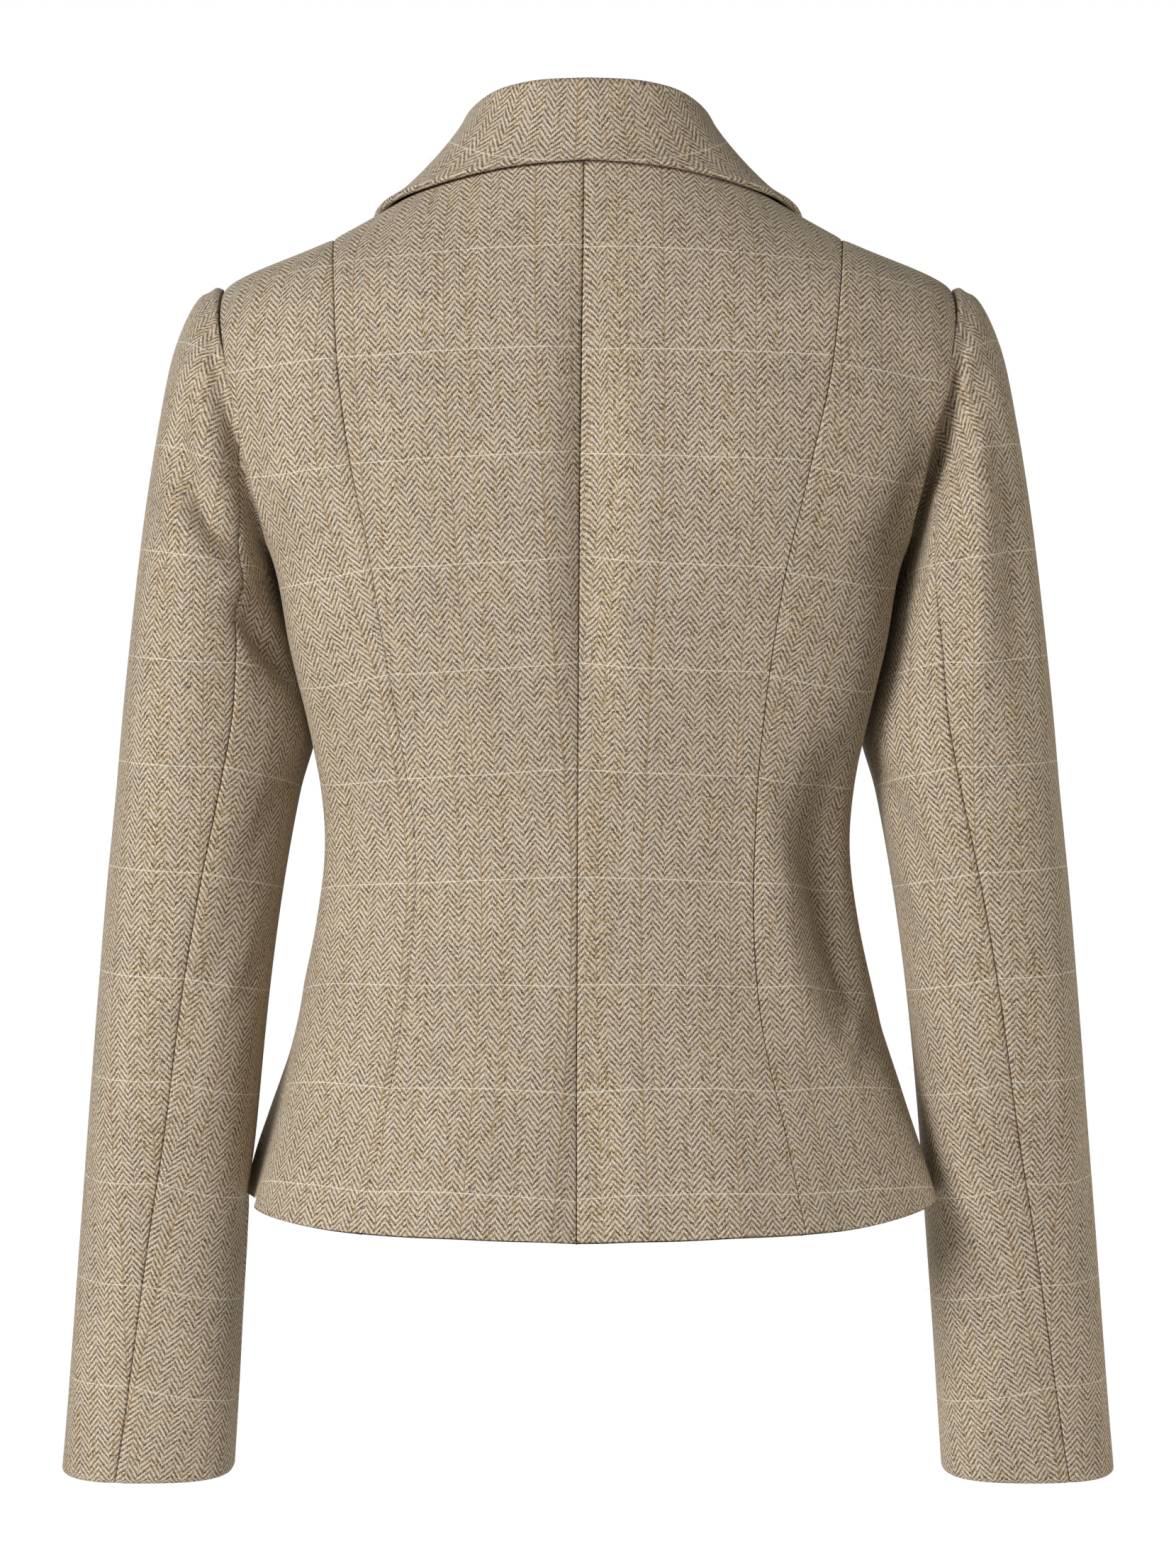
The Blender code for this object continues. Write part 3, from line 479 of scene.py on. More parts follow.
def flatten(points, outward, grain, start=None, rounds=0):
    # cloth coordinates: across and along the grain, laid flat; rounds then even out the shear
    grain = unit(grain - outward * np.sum(grain * outward, axis=-1, keepdims=True))
    across = np.cross(grain, outward)
    if np.sum(across[:, 1:] * np.diff(points, axis=1)) < 0.0:
        across = -across
    u, v = spread(points, across), spread(points, grain, start)
    steps = np.stack([np.gradient(points, axis=1), np.gradient(points, axis=0)], axis=-2)
    back = np.linalg.inv(np.einsum("...ik,...jk->...ij", steps, np.stack([across, grain], axis=-2)))
    for _ in range(rounds):
        slopes = [np.stack(np.gradient(value)[::-1], axis=-1) for value in (u, v)]
        slopeU, slopeV = (np.einsum("...ij,...j->...i", back, slope) for slope in slopes)
        turned = np.stack([slopeU[..., 0] + slopeV[..., 1], slopeU[..., 1] - slopeV[..., 0]], axis=-1)
        cosine, sine = np.moveaxis(unit(turned)[..., None], -2, 0)
        u = spread(points, cosine * across + sine * grain, None, u)
        v = spread(points, cosine * grain - sine * across, start, v)
    return np.stack([u, v], axis=-1)


def crossing(values, distances):
    # what the distances are where the values pass zero, straight on beyond the ends
    if values[0] > values[-1]:
        values = -values
    if values[0] >= 0.0:
        return distances[0] - values[0] * (distances[1] - distances[0]) / (values[1] - values[0])
    if values[-1] <= 0.0:
        return distances[-1] - values[-1] * (distances[-1] - distances[-2]) / (values[-1] - values[-2])
    return np.interp(0.0, values, distances)


def rotated(uv, degrees):
    c, s = math.cos(math.radians(degrees)), math.sin(math.radians(degrees))
    return np.stack([uv[..., 0] * c - uv[..., 1] * s, uv[..., 0] * s + uv[..., 1] * c], axis=-1)


def gridNormals(grid):
    return unit(np.cross(np.gradient(grid, axis=1), np.gradient(grid, axis=0)))


def finer(grid, places, axis):
    # rows or columns of a grid at any places along it
    grid = np.moveaxis(grid, axis, 0)
    fine = rowsAt(grid.reshape(len(grid), -1), places).reshape(len(places), *grid.shape[1:])
    return np.moveaxis(fine, 0, axis)


# Meshes and objects


def gridQuads(rows, columns):
    place = np.arange(rows * columns).reshape(rows, columns)
    corners = [place[:-1, :-1], place[:-1, 1:], place[1:, 1:], place[1:, :-1]]
    return place, np.stack(corners, axis=-1).reshape(-1, 4)


def meshOf(name, points, faces, edges=()):
    mesh = bpy.data.meshes.new(name)
    mesh.from_pydata(points.tolist(), edges, faces)
    return mesh


def placed(name, data):
    item = bpy.data.objects.new(name, data)
    bpy.context.scene.collection.objects.link(item)
    return item


def evaluatedMesh(item):
    # plain mesh with the modifiers worked in, which are then taken off
    depsgraph = bpy.context.evaluated_depsgraph_get()
    mesh = bpy.data.meshes.new_from_object(item.evaluated_get(depsgraph), depsgraph=depsgraph)
    item.modifiers.clear()
    return mesh


def sixVolumes(corners):
    return np.einsum("ij,ij->", corners[:, 0], np.cross(corners[:, 1], corners[:, 2]))


def plainObject(name, points, faces, material, uv=None):
    mesh = meshOf(name, points, faces)
    first = [face[:3] for face in faces]
    second = [(face[0], face[2], face[3]) for face in faces if len(face) == 4]
    if sixVolumes(points[np.array(first)]) + sixVolumes(points[np.array(second)]) < 0.0:
        mesh.flip_normals()  # faces point outwards
    mesh.polygons.foreach_set("use_smooth", [True] * len(mesh.polygons))
    if uv is not None:
        layer = mesh.uv_layers.new(name="cloth")
        corner = np.empty(len(mesh.loops), dtype=np.int32)
        mesh.loops.foreach_get("vertex_index", corner)
        layer.data.foreach_set("uv", uv[corner].astype(np.float32).ravel())
    mesh.materials.append(material)
    mesh.update()
    return placed(name, mesh)


napGrids = []  # outer faces of the cloth, for the nap


def clothShell(name, outer, inner, uv, material, seams=()):
    # closed wall with a rounded rim, flatter where the edge is sewn
    napGrids.append(outer[::2, ::2])
    place, quads = gridQuads(*outer.shape[:2])
    count = place.size
    rim = np.concatenate([place[0, :-1], place[:-1, -1], place[-1, :0:-1], place[:0:-1, 0]])
    away, drift = np.zeros_like(outer), np.zeros_like(uv)
    for edge, (spot, beside) in edgeCells.items():
        bulge = cloth["seamBulge"] if edge in seams else cloth["freeBulge"]
        way = outer[spot] - outer[beside]
        length = np.maximum(np.linalg.norm(way, axis=-1, keepdims=True), 1e-9)
        away[spot] += bulge * way / length
        drift[spot] += (uv[spot] - uv[beside]) / length
    outerRim, innerRim = outer.reshape(-1, 3)[rim], inner.reshape(-1, 3)[rim]
    middle, half = 0.5 * (outerRim + innerRim), 0.5 * (outerRim - innerRim)
    radius = np.linalg.norm(half, axis=-1, keepdims=True)
    reach = away.reshape(-1, 3)[rim] * radius
    lean = np.clip(drift.reshape(-1, 2)[rim], -cloth["rimDrift"], cloth["rimDrift"])
    flat = uv.reshape(-1, 2)
    rounds, rimFlat = [], []
    for angle in np.radians(cloth["rimTurns"]):
        rounds.append(middle + half * math.cos(angle) + reach * math.sin(angle))
        rimFlat.append(flat[rim] + lean * radius * angle)
    points = np.concatenate([outer.reshape(-1, 3), inner.reshape(-1, 3)] + rounds)
    flat = np.concatenate([flat, flat] + rimFlat)
    rings = [rim] + [2 * count + len(rim) * step + np.arange(len(rim)) for step in range(len(rounds))]
    rings.append(rim + count)
    faces = [quads, quads[:, ::-1] + count]
    for one, two in zip(rings[:-1], rings[1:]):
        faces.append(np.stack([np.roll(one, -1), one, two, np.roll(two, -1)], axis=-1))
    return plainObject(name, points, np.concatenate(faces).tolist(), material, flat)


def dress(piece, node, uv):
    # the piece stands for its node; its cut is measured on the flat pattern
    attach(piece, "root")
    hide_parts(node)
    low, high = uv.reshape(-1, 2).min(axis=0), uv.reshape(-1, 2).max(axis=0)
    a, c = uv[1:, 1:] - uv[:-1, :-1], uv[1:, :-1] - uv[:-1, 1:]
    area = float(np.abs(0.5 * (a[..., 0] * c[..., 1] - a[..., 1] * c[..., 0])).sum())
    width, length = (round(float(size), 3) for size in high - low)
    print("made", piece.name, "flat", width, "x", length, "m, area", round(area, 4), "m2")


def sideWord(side):
    return "right" if side > 0 else "left"


# Shader maths


class Wire:
    # wraps a socket; operators add Math nodes
    def __init__(self, tree, socket=None):
        self.tree, self.socket = tree, socket

    def node(self, kind, settings=None, values=None, output=0):
        made = self.tree.nodes.new(kind)
        for key, value in (settings or {}).items():
            setattr(made, key, value)
        self.feed(made, values or {})
        return Wire(self.tree, made.outputs[output]) if len(made.outputs) else made

    def feed(self, node, values):
        # links or values for the sockets of a node
        for key, value in values.items():
            if isinstance(value, Wire):
                self.tree.links.new(value.socket, node.inputs[key])
            else:
                node.inputs[key].default_value = value

    def maths(self, operation, *others):
        return self.node("ShaderNodeMath", {"operation": operation}, dict(enumerate((self, *others))))

    def flipped(self, operation, other):
        return self.node("ShaderNodeMath", {"operation": operation}, {0: other, 1: self})

    def __add__(self, other):
        return self.maths("ADD", other)

    def __sub__(self, other):
        return self.maths("SUBTRACT", other)

    def __rsub__(self, other):
        return self.flipped("SUBTRACT", other)

    def __mul__(self, other):
        return self.maths("MULTIPLY", other)

    def __truediv__(self, other):
        return self.maths("DIVIDE", other)

    def __lt__(self, other):
        return self.maths("LESS_THAN", other)

    def __gt__(self, other):
        return self.maths("GREATER_THAN", other)

    __radd__ = __add__
    __rmul__ = __mul__

    def fade(self, low, high):
        # 0 below low and 1 above high, smooth between
        return self.node("ShaderNodeMapRange", {"interpolation_type": "SMOOTHSTEP"},
                         {"Value": self, "From Min": low, "From Max": high})

    def whole(self):
        # nearest whole number
        return (self + 0.5).maths("FLOOR")

    def objectNoise(self, scale, detail):
        spot = self.node("ShaderNodeTexCoord", None, None, "Object")
        values = {"Vector": spot, "Scale": scale, "Detail": detail}
        return self.node("ShaderNodeTexNoise", None, values)

    def mix(self, colourA, colourB):
        # self is the share of the second colour
        return self.node("ShaderNodeMix", {"data_type": "RGBA"}, {0: self, 6: colourA, 7: colourB}, 2)


def tone(red, green, blue):
    # screen colour, 0 to 255, as linear light
    parts = [value / 255.0 for value in (red, green, blue)]
    linear = [part / 12.92 if part <= 0.04045 else ((part + 0.055) / 1.055) ** 2.4 for part in parts]
    return (*linear, 1.0)


tweed = {
    "repeat": 0.01138,  # one full turn of the herringbone
    "ends": 8,  # warp ends in half a turn
    "pick": 0.00083,  # weft picks
    "goldEvery": 4,  # turns between the gold lines
    "weftEvery": 0.0535,  # between the pale lines
    "cream": tone(236, 227, 206),
    "beige": tone(205, 189, 160),
    "ochre": tone(190, 164, 114),
    "taupe": tone(146, 126, 112),
    "slate": tone(88, 70, 60),
    "gold": tone(162, 126, 70),
    "line": tone(236, 229, 208),
    "sheen": 0.22,
    "sheenRoughness": 0.45,
    "sheenTint": tone(236, 224, 200),
    "specular": 0.18,
    "roughness": 0.93,
    "bump": 0.35,
    "bumpDistance": 0.0006,
    "wander": (0.0011, 0.0012),  # of the yarns, across and along
    "wanderScale": (45.0, 38.0),
    "lineHalf": (0.00016, 0.00042),  # a pale line fades out between these
    "turnKey": 17.0,  # keeps apart the chances of each turn's yarns
    "twill": 4,  # picks in one step of the twill
    "phase": 0.25,
    "round": 3.2,  # how round a warp end is
    "speckScale": 1100.0,
    "fuzzScale": 2600.0,
    "noiseRoughness": 0.55,
    "uneven": (0.45, 0.9, 0.9),  # shares of float, crossing and speck
    "warpMix": (0.66, 0.42, 0.26),  # wave, roundness, and what is taken off
    "warpFade": (-0.58, 0.74),
    "beigeFade": (0.20, 0.80),
    "ochreFade": (0.62, 0.92),
    "goldShow": (0.22, 0.5),  # least, and more where the warp is on top
    "lineShow": (0.36, 0.38),  # least, and more by chance
    "shades": ((26.0, 3.0, 0.20), (420.0, 2.0, 0.20), (1500.0, 1.0, 0.30)),  # scale, detail, share
    "leastShade": 0.65,
    "heights": (0.55, 0.25, 0.3, 0.45),  # warp, roundness, pale line and fuzz
}


def shaderStart(name):
    material = bpy.data.materials.new(name)
    material.use_nodes = True
    tree = material.node_tree
    return material, tree.nodes["Principled BSDF"], Wire(tree)


def tweedMaterial():
    material, shader, start = shaderStart("tweed")
    uv = start.node("ShaderNodeUVMap", {"uv_map": "cloth"})
    parts = start.node("ShaderNodeSeparateXYZ", None, {0: uv}).socket.node
    u, v = (Wire(start.tree, parts.outputs[axis]) for axis in (0, 1))

    def noise(scale, detail=2.0):
        return start.node("ShaderNodeTexNoise", {"noise_dimensions": "2D"},
                          {"Vector": uv, "Scale": scale, "Detail": detail,
                           "Roughness": tweed["noiseRoughness"]})

    def chance(x, y, z):
        spot = start.node("ShaderNodeCombineXYZ", None, {0: x, 1: y, 2: z})
        return start.node("ShaderNodeTexWhiteNoise", {"noise_dimensions": "3D"}, {"Vector": spot})

    across, along = tweed["wander"]  # yarns wander a little
    acrossScale, alongScale = tweed["wanderScale"]
    u = u + (noise(acrossScale) - 0.5) * across
    v = v + (noise(alongScale, 3.0) - 0.5) * along
    turns = u / tweed["repeat"]
    nearest = turns.whole()
    offset = turns - nearest
    end = offset.maths("ABSOLUTE") * (2.0 * tweed["ends"]) + 0.5
    endIndex = end.maths("FLOOR")
    acrossEnd = end - endIndex - 0.5
    handed = offset > 0.0
    pick = v / tweed["pick"]
    rise = 1.0 / tweed["twill"]
    climb = (pick - endIndex) * rise + handed * rise
    step = climb.maths("FLOOR")
    wave = ((climb - step - tweed["phase"]) * (2.0 * math.pi)).maths("COSINE")
    ridge = 1.0 - acrossEnd * acrossEnd * tweed["round"]

    turnKey, pickIndex = nearest * tweed["turnKey"], pick.maths("FLOOR")
    endKey = turnKey + endIndex
    dash = chance(endKey, step, handed)  # one float of a warp end
    yarn = chance(endKey, handed, 7.0)  # one warp end
    weft = chance(pickIndex, turnKey + (endIndex * 0.4).maths("FLOOR"), handed + 3.0)
    bead = chance(endKey, pickIndex, handed + 11.0)  # one crossing of two yarns
    speck = noise(tweed["speckScale"])
    ofDash, ofBead, ofSpeck = tweed["uneven"]
    uneven = (dash - 0.5) * ofDash + (bead - 0.5) * ofBead + (speck - 0.5) * ofSpeck
    ofWave, ofRidge, less = tweed["warpMix"]
    warpTop = (wave * ofWave + ridge * ofRidge - less + uneven).fade(*tweed["warpFade"])
    pale, warm = (dash * 0.5 + bead * 0.5), (yarn * 0.5 + weft * 0.5)
    light = pale.fade(*tweed["beigeFade"]).mix(tweed["cream"], tweed["beige"])
    light = warm.fade(*tweed["ochreFade"]).mix(light, tweed["ochre"])
    dark = weft.mix(tweed["taupe"], tweed["slate"])
    colour = warpTop.mix(dark, light)

    goldTurn = nearest / tweed["goldEvery"]
    onGold = (goldTurn - goldTurn.whole()).maths("ABSOLUTE") < 0.01
    least, more = tweed["goldShow"]
    gold = onGold * (endIndex < 0.5) * (least + warpTop * more)
    colour = gold.mix(colour, tweed["gold"])
    lines = v / tweed["weftEvery"]
    fromLine = (lines - lines.whole()).maths("ABSOLUTE") * tweed["weftEvery"]
    least, more = tweed["lineShow"]
    onLine = (1.0 - fromLine.fade(*tweed["lineHalf"])) * (least + dash * more)
    colour = onLine.mix(colour, tweed["line"])

    broad, small, fine = (noise(scale, detail) * share for scale, detail, share in tweed["shades"])
    shade = broad + small + fine + tweed["leastShade"]
    grey = start.node("ShaderNodeCombineColor", None, {0: shade, 1: shade, 2: shade})
    colour = start.node("ShaderNodeMix", {"data_type": "RGBA", "blend_type": "MULTIPLY"},
                        {0: 1.0, 6: colour, 7: grey}, 2)
    ofWarp, ofRidge, ofLine, ofFuzz = tweed["heights"]
    fuzz = noise(tweed["fuzzScale"])
    height = warpTop * ofWarp + ridge * ofRidge + onLine * ofLine + fuzz * ofFuzz
    values = {"Strength": tweed["bump"], "Distance": tweed["bumpDistance"], "Height": height}
    bump = start.node("ShaderNodeBump", None, values)
    start.feed(shader, {
        "Base Color": colour,
        "Normal": bump,
        "Roughness": tweed["roughness"],
        "Sheen Weight": tweed["sheen"],
        "Sheen Roughness": tweed["sheenRoughness"],
        "Sheen Tint": tweed["sheenTint"],
        "Specular IOR Level": tweed["specular"],
    })
    return material


tweedCloth = tweedMaterial()
print("tweed shader made")

# Body panels

# Where a gold line of the check lies on each panel: level, distance out from the middle of the body
grains = {
    "back_left": ((0.0, 0.0175), (2.0, 0.0098), (3.5, 0.0080), (5.0, 0.0130), (7.0, 0.0200),
                  (9.0, 0.0252), (12.0, 0.0285)),
    "back_right": ((0.0, 0.0300), (1.5, 0.0270), (3.5, 0.0264), (4.7, 0.0293), (6.0, 0.0315),
                   (7.0, 0.0356), (8.2, 0.0377), (12.0, 0.0386)),
    "side_back_left": ((0.0, 0.1180), (1.5, 0.0990), (2.4, 0.0915), (3.5, 0.0880), (4.6, 0.0935),
                       (5.7, 0.1028), (6.5, 0.1172), (7.3, 0.1293), (8.0, 0.1350), (9.0, 0.1368),
                       (11.0, 0.1300)),
    "side_back_right": ((0.0, 0.1230), (2.0, 0.1040), (3.8, 0.0998), (4.5, 0.1055), (5.5, 0.1148),
                        (6.6, 0.1301), (7.2, 0.1358), (8.2, 0.1450), (9.1, 0.1468), (11.0, 0.1468)),
    "front_left": ((0.0, 0.012), (12.0, 0.012)),
    "front_right": ((0.0, 0.012), (12.0, 0.012)),
}
weftStretch = {"side_back_right": 0.016}


def bodyGrain(node, side, level):
    # direction of the gold line at each level of a panel
    behind = not node.startswith("front")

    def linePoint(height):
        height = np.clip(height, 0.0, body["neck"])
        edge = body["grainEdge"] * tableRow(torso, height)["xSide"]
        x = np.minimum(curveAt(grains[node], height), edge)
        return torsoRing(side, turnAt(x, height, behind), height)

    return unit(linePoint(level + body["grainStep"]) - linePoint(level - body["grainStep"]))


def bodyPanel(node, side, lines, seams, lift=None, seamWeft=None):
    # seamWeft is how far up its cloth the neighbour lies along the first edge, to match the check
    plain = patch(**lines)
    turn, level = plain[..., 0], plain[..., 1]
    uv = flatten(torsoPoint(side, turn, level), torsoNormal(side, turn, level),
                 bodyGrain(node, side, level), seamWeft)
    if seamWeft is None:
        uv[..., 1] -= np.interp(body["waist"], plain[:, 0, 1], uv[:, 0, 1])
    plainWeft = uv[:, -1, 1].copy()
    grid, uv = (closerEdges(closerEdges(item, 1), 0) for item in (plain, uv))
    turn, level = grid[..., 0], grid[..., 1]
    points, outward = torsoPoint(side, turn, level), torsoNormal(side, turn, level)
    if lift is not None:
        points = points + outward * lift(points)[..., None]
    fromLine = side * points[..., 0] - curveAt(grains[node], level)
    inside = (fromLine.min(axis=1) < 0.0) & (fromLine.max(axis=1) > 0.0)
    uv[..., 0] -= np.mean([crossing(row, u) for row, u in zip(fromLine[inside], uv[inside, :, 0])])
    rise = armholeDraw(level[:, -1], turn[:, -1])
    outer, inner = panelWalls(points, outward, seams, "bottom", ("right", rise[:, None]))
    return clothShell(f"{node}_cloth", outer, inner, uv, tweedCloth, seams), uv, plainWeft


def drawnIn(height):
    # the armhole's seam is drawn in less at the underarm, where body and sleeve fold back to back
    return ease((height - body["drawFrom"]) / body["drawOver"])


def armholeDraw(level, turn):
    # along the outer edge of a panel, where the side seam is drawn in all the way
    height = np.clip((level - armMiddle) / armHalf, -1.0, 1.0)
    return np.where(np.abs(turn) < 1e-6, 1.0, drawnIn(height))


def lapLift(points):
    # the right front lies over the left one along the centre front
    across = ease((body["frontOverlap"] + body["lapBlend"] - points[..., 0]) / body["lapBlend"])
    below = ease((body["lapTop"] - points[..., 2]) / body["lapFade"])
    return (cloth["thickness"] + body["lapGap"]) * across * below


def panelLines(left, right, between, columns, fineness):
    # the four edges of a panel, whose top runs through the points between
    stops = [left[-1], *between, right[-1]]
    counts = [body[name] * fineness for name in columns]
    top = joined(*(straight(*stretch) for stretch in zip(stops[:-1], stops[1:], counts)))
    bottom = straight(left[0], right[0], sum(counts))
    return {"bottom": bottom, "top": top, "left": left, "right": right}


def makeBack(side):
    lines = panelLines(centreBackLine(side), princessLine(side), [neckPoint],
                       ("neckColumns", "innerShoulderColumns"), body["fineness"])
    return bodyPanel(f"back_{sideWord(side)}", side, lines, ("left", "right", "top"))


def makeSideBack(side, backWeft):
    # matched to the back panel along the princess seam
    lines = panelLines(princessLine(side), sideLine(True), [],
                       ("outerShoulderColumns",), body["fineness"])
    node = f"side_back_{sideWord(side)}"
    stretch = weftStretch.get(node, 0.0)
    seamWeft = np.where(backWeft > 0.0, backWeft * (1.0 + stretch), backWeft)
    return bodyPanel(node, side, lines, ("left", "right", "top"), seamWeft=seamWeft)


def makeFront(side):
    columns = ("neckColumns", "innerShoulderColumns", "outerShoulderColumns")
    lines = panelLines(frontEdgeLine(), sideLine(False), [neckPoint, midPoint],
                       columns, body["frontFineness"])
    lift = lapLift if side > 0 else None
    return bodyPanel(f"front_{sideWord(side)}", side, lines, ("right", "top"), lift)


# Lapels

lapel = {
    "edge": ((5.2, -0.0180), (6.0, 0.0170), (7.0, 0.0460), (8.0, 0.0700), (9.0, 0.0890), (10.2, 0.1000)),
    "notchX": 0.0700,
    "notchLevel": 11.38,
    "clear": 0.0080,
    "rootReach": 0.0016,
    "leftRollLevel": 6.9,
    "rollBlend": 0.8,
    "start": {1: 5.30, -1: 6.15},
    "trim": 0.0014,
    "lift": 0.0012,
    "roll": 0.0025,
    "settle": 0.010,
    "rows": 130,
    "gorgeColumns": 24,
    "notchColumns": 16,
    "rollSteps": 10,
    "grainTilt": 24.0,
}


def lapelInnerX(side, level):
    edge = frontEdgeX(level)
    return edge if side > 0 else np.maximum(edge, lapel["clear"] - edge)


def lapelGrid(side):
    start, top = lapel["start"][side], lapel["edge"][-1][0]
    innerLevels = np.linspace(start, body["neck"], lapel["rows"] + 1)
    outerLevels = np.linspace(start, top, lapel["rows"] + 1)
    inner = np.stack([lapelInnerX(side, innerLevels), innerLevels], axis=-1)
    outer = np.stack([curveAt(lapel["edge"], outerLevels), outerLevels], axis=-1)
    notch = (lapel["notchX"], lapel["notchLevel"])
    gorge = straight(inner[-1], notch, lapel["gorgeColumns"])
    step = straight(notch, outer[-1], lapel["notchColumns"])
    bottom = straight(inner[0], outer[0], lapel["gorgeColumns"] + lapel["notchColumns"])
    grid = patch(bottom, joined(gorge, step), inner, outer)
    return turnAt(grid[..., 0], grid[..., 1], False), grid[..., 1]


def makeLapel(side):
    turn, level = lapelGrid(side)
    ground, outward = torsoPoint(side, turn, level), torsoNormal(side, turn, level)
    if side > 0:
        ground = ground + outward * lapLift(ground)[..., None]
    fromRoot = np.linalg.norm(ground - ground[:, :1], axis=-1)
    rolled = np.ones((len(level), 1))
    if side < 0:
        rolled = ease((level[:, :1] - lapel["leftRollLevel"]) / lapel["rollBlend"])
    settled = lapel["lift"] + 0.5 * cloth["thickness"]
    high = 2.0 * lapel["roll"] - 0.5 * cloth["thickness"] - settled
    flat = ground + outward * (settled + high * rolled * np.exp(-fromRoot / lapel["settle"]))[..., None]
    away = unit(ground[:, 0] - ground[:, 1])
    rolls = []
    for angle in np.linspace(math.pi, 0.0, lapel["rollSteps"] + 1)[:-1]:
        reach = lapel["roll"] * math.sin(angle) * rolled + lapel["rootReach"] * angle / math.pi
        drop = lapel["roll"] * (1.0 - math.cos(angle)) * rolled
        rolls.append(flat[:, 0] + away * reach - outward[:, 0] * drop)
    middle = trimmed(np.concatenate([np.stack(rolls, axis=1), flat], axis=1), lapel["trim"], ("top",))
    shift = side * gridNormals(middle) * 0.5 * cloth["thickness"]
    uv = rotated(np.stack([runs(middle, 1), runs(middle, 0)], axis=-1), lapel["grainTilt"])
    name = f"lapel_{sideWord(side)}_cloth"
    return clothShell(name, middle + shift, middle - shift, uv, tweedCloth), uv


# Collar

collar = {
    "columns": ("seamTurn", "rollX", "rollY", "rollZ", "edgeTurn", "edgeLevel", "lift"),
    "rows": (
        (-90.0, 0.0000, -0.0560, 0.0245, -90.0, 11.61, 0.0025),
        (-64.0, 0.0270, -0.0520, 0.0234, -67.0, 11.55, 0.0024),
        (-34.0, 0.0470, -0.0350, 0.0180, -38.0, 11.43, 0.0018),
        (0.0, 0.0580, -0.0010, 0.0050, 0.0, 11.375, 0.0009),
        (28.0, 0.0535, 0.0190, -0.0200, 24.0, 11.20, 0.0010),
        (44.0, 0.0450, 0.0300, -0.0420, 38.0, 11.08, 0.0012),
        (56.7, 0.0355, 0.0390, -0.0600, 46.0, 11.00, 0.0012),
    ),
    "thickness": 0.0026,
    "edgeExtra": 0.0008,  # turned edge of the fall
    "edgeReach": 0.006,
    "roll": 0.0030,
    "neckGap": 0.0018,
    "seamStep": 0.2,  # levels, for the way the cloth runs at the neck seam
    "edgeStep": 0.1,
    "startPull": 0.5,  # how straight the fall leaves the roll and meets the body
    "endPull": 0.8,
    "stations": 156,
    "standSteps": 9,
    "rollSteps": 12,
    "fallSteps": 24,
    "flatRounds": 14,
    "grainX": -0.0060,  # gold line beside the centre back
    "grainColumn": -8,  # measured this far in from the edge
    "weftShift": 0.004,  # the pale lines fall past the edge and inside the stand
}


def collarSection(place):
    # points across the collar from the neck seam over the roll to the edge of the fall
    side = 1.0 if place >= 0.0 else -1.0
    row = tableRow(collar, abs(place) * (len(collar["rows"]) - 1))
    seamTurn, edgeTurn = math.radians(row["seamTurn"]), math.radians(row["edgeTurn"])
    neck, edgeLevel = body["neck"], row["edgeLevel"]
    top = torsoPoint(side, seamTurn, neck)
    upward = unit(top - torsoPoint(side, seamTurn, neck - collar["seamStep"]))
    seam = top - torsoNormal(side, seamTurn, neck) * 0.5 * cloth["thickness"]
    seam = seam + upward * collar["neckGap"]
    roll = np.array([side * row["rollX"], row["rollY"], row["rollZ"]])
    lift = row["lift"] + 0.5 * collar["thickness"]
    ground = torsoPoint(side, edgeTurn, edgeLevel)
    edge = ground + torsoNormal(side, edgeTurn, edgeLevel) * lift
    rise = unit(roll - seam)
    out = unit((edge - seam) - rise * np.dot(edge - seam, rise))
    standTop = roll - rise * collar["roll"]
    steps = collar["standSteps"]
    points = [seam + (standTop - seam) * step / steps for step in range(steps)]
    middle = standTop + out * collar["roll"]
    for angle in np.linspace(math.pi, 0.0, collar["rollSteps"] + 1):
        points.append(middle + (out * math.cos(angle) + rise * math.sin(angle)) * collar["roll"])
    fallTop = points[-1]
    settle = unit(ground - torsoPoint(side, edgeTurn, edgeLevel + collar["edgeStep"]))
    length = np.linalg.norm(edge - fallTop)
    startPull, endPull = -rise * length * collar["startPull"], settle * length * collar["endPull"]
    for part in np.arange(1, collar["fallSteps"] + 1) / collar["fallSteps"]:
        square, cube = part * part, part * part * part
        near = (2.0 * cube - 3.0 * square + 1.0) * fallTop + (cube - 2.0 * square + part) * startPull
        points.append(near + (3.0 * square - 2.0 * cube) * edge + (cube - square) * endPull)
    return np.array(points)


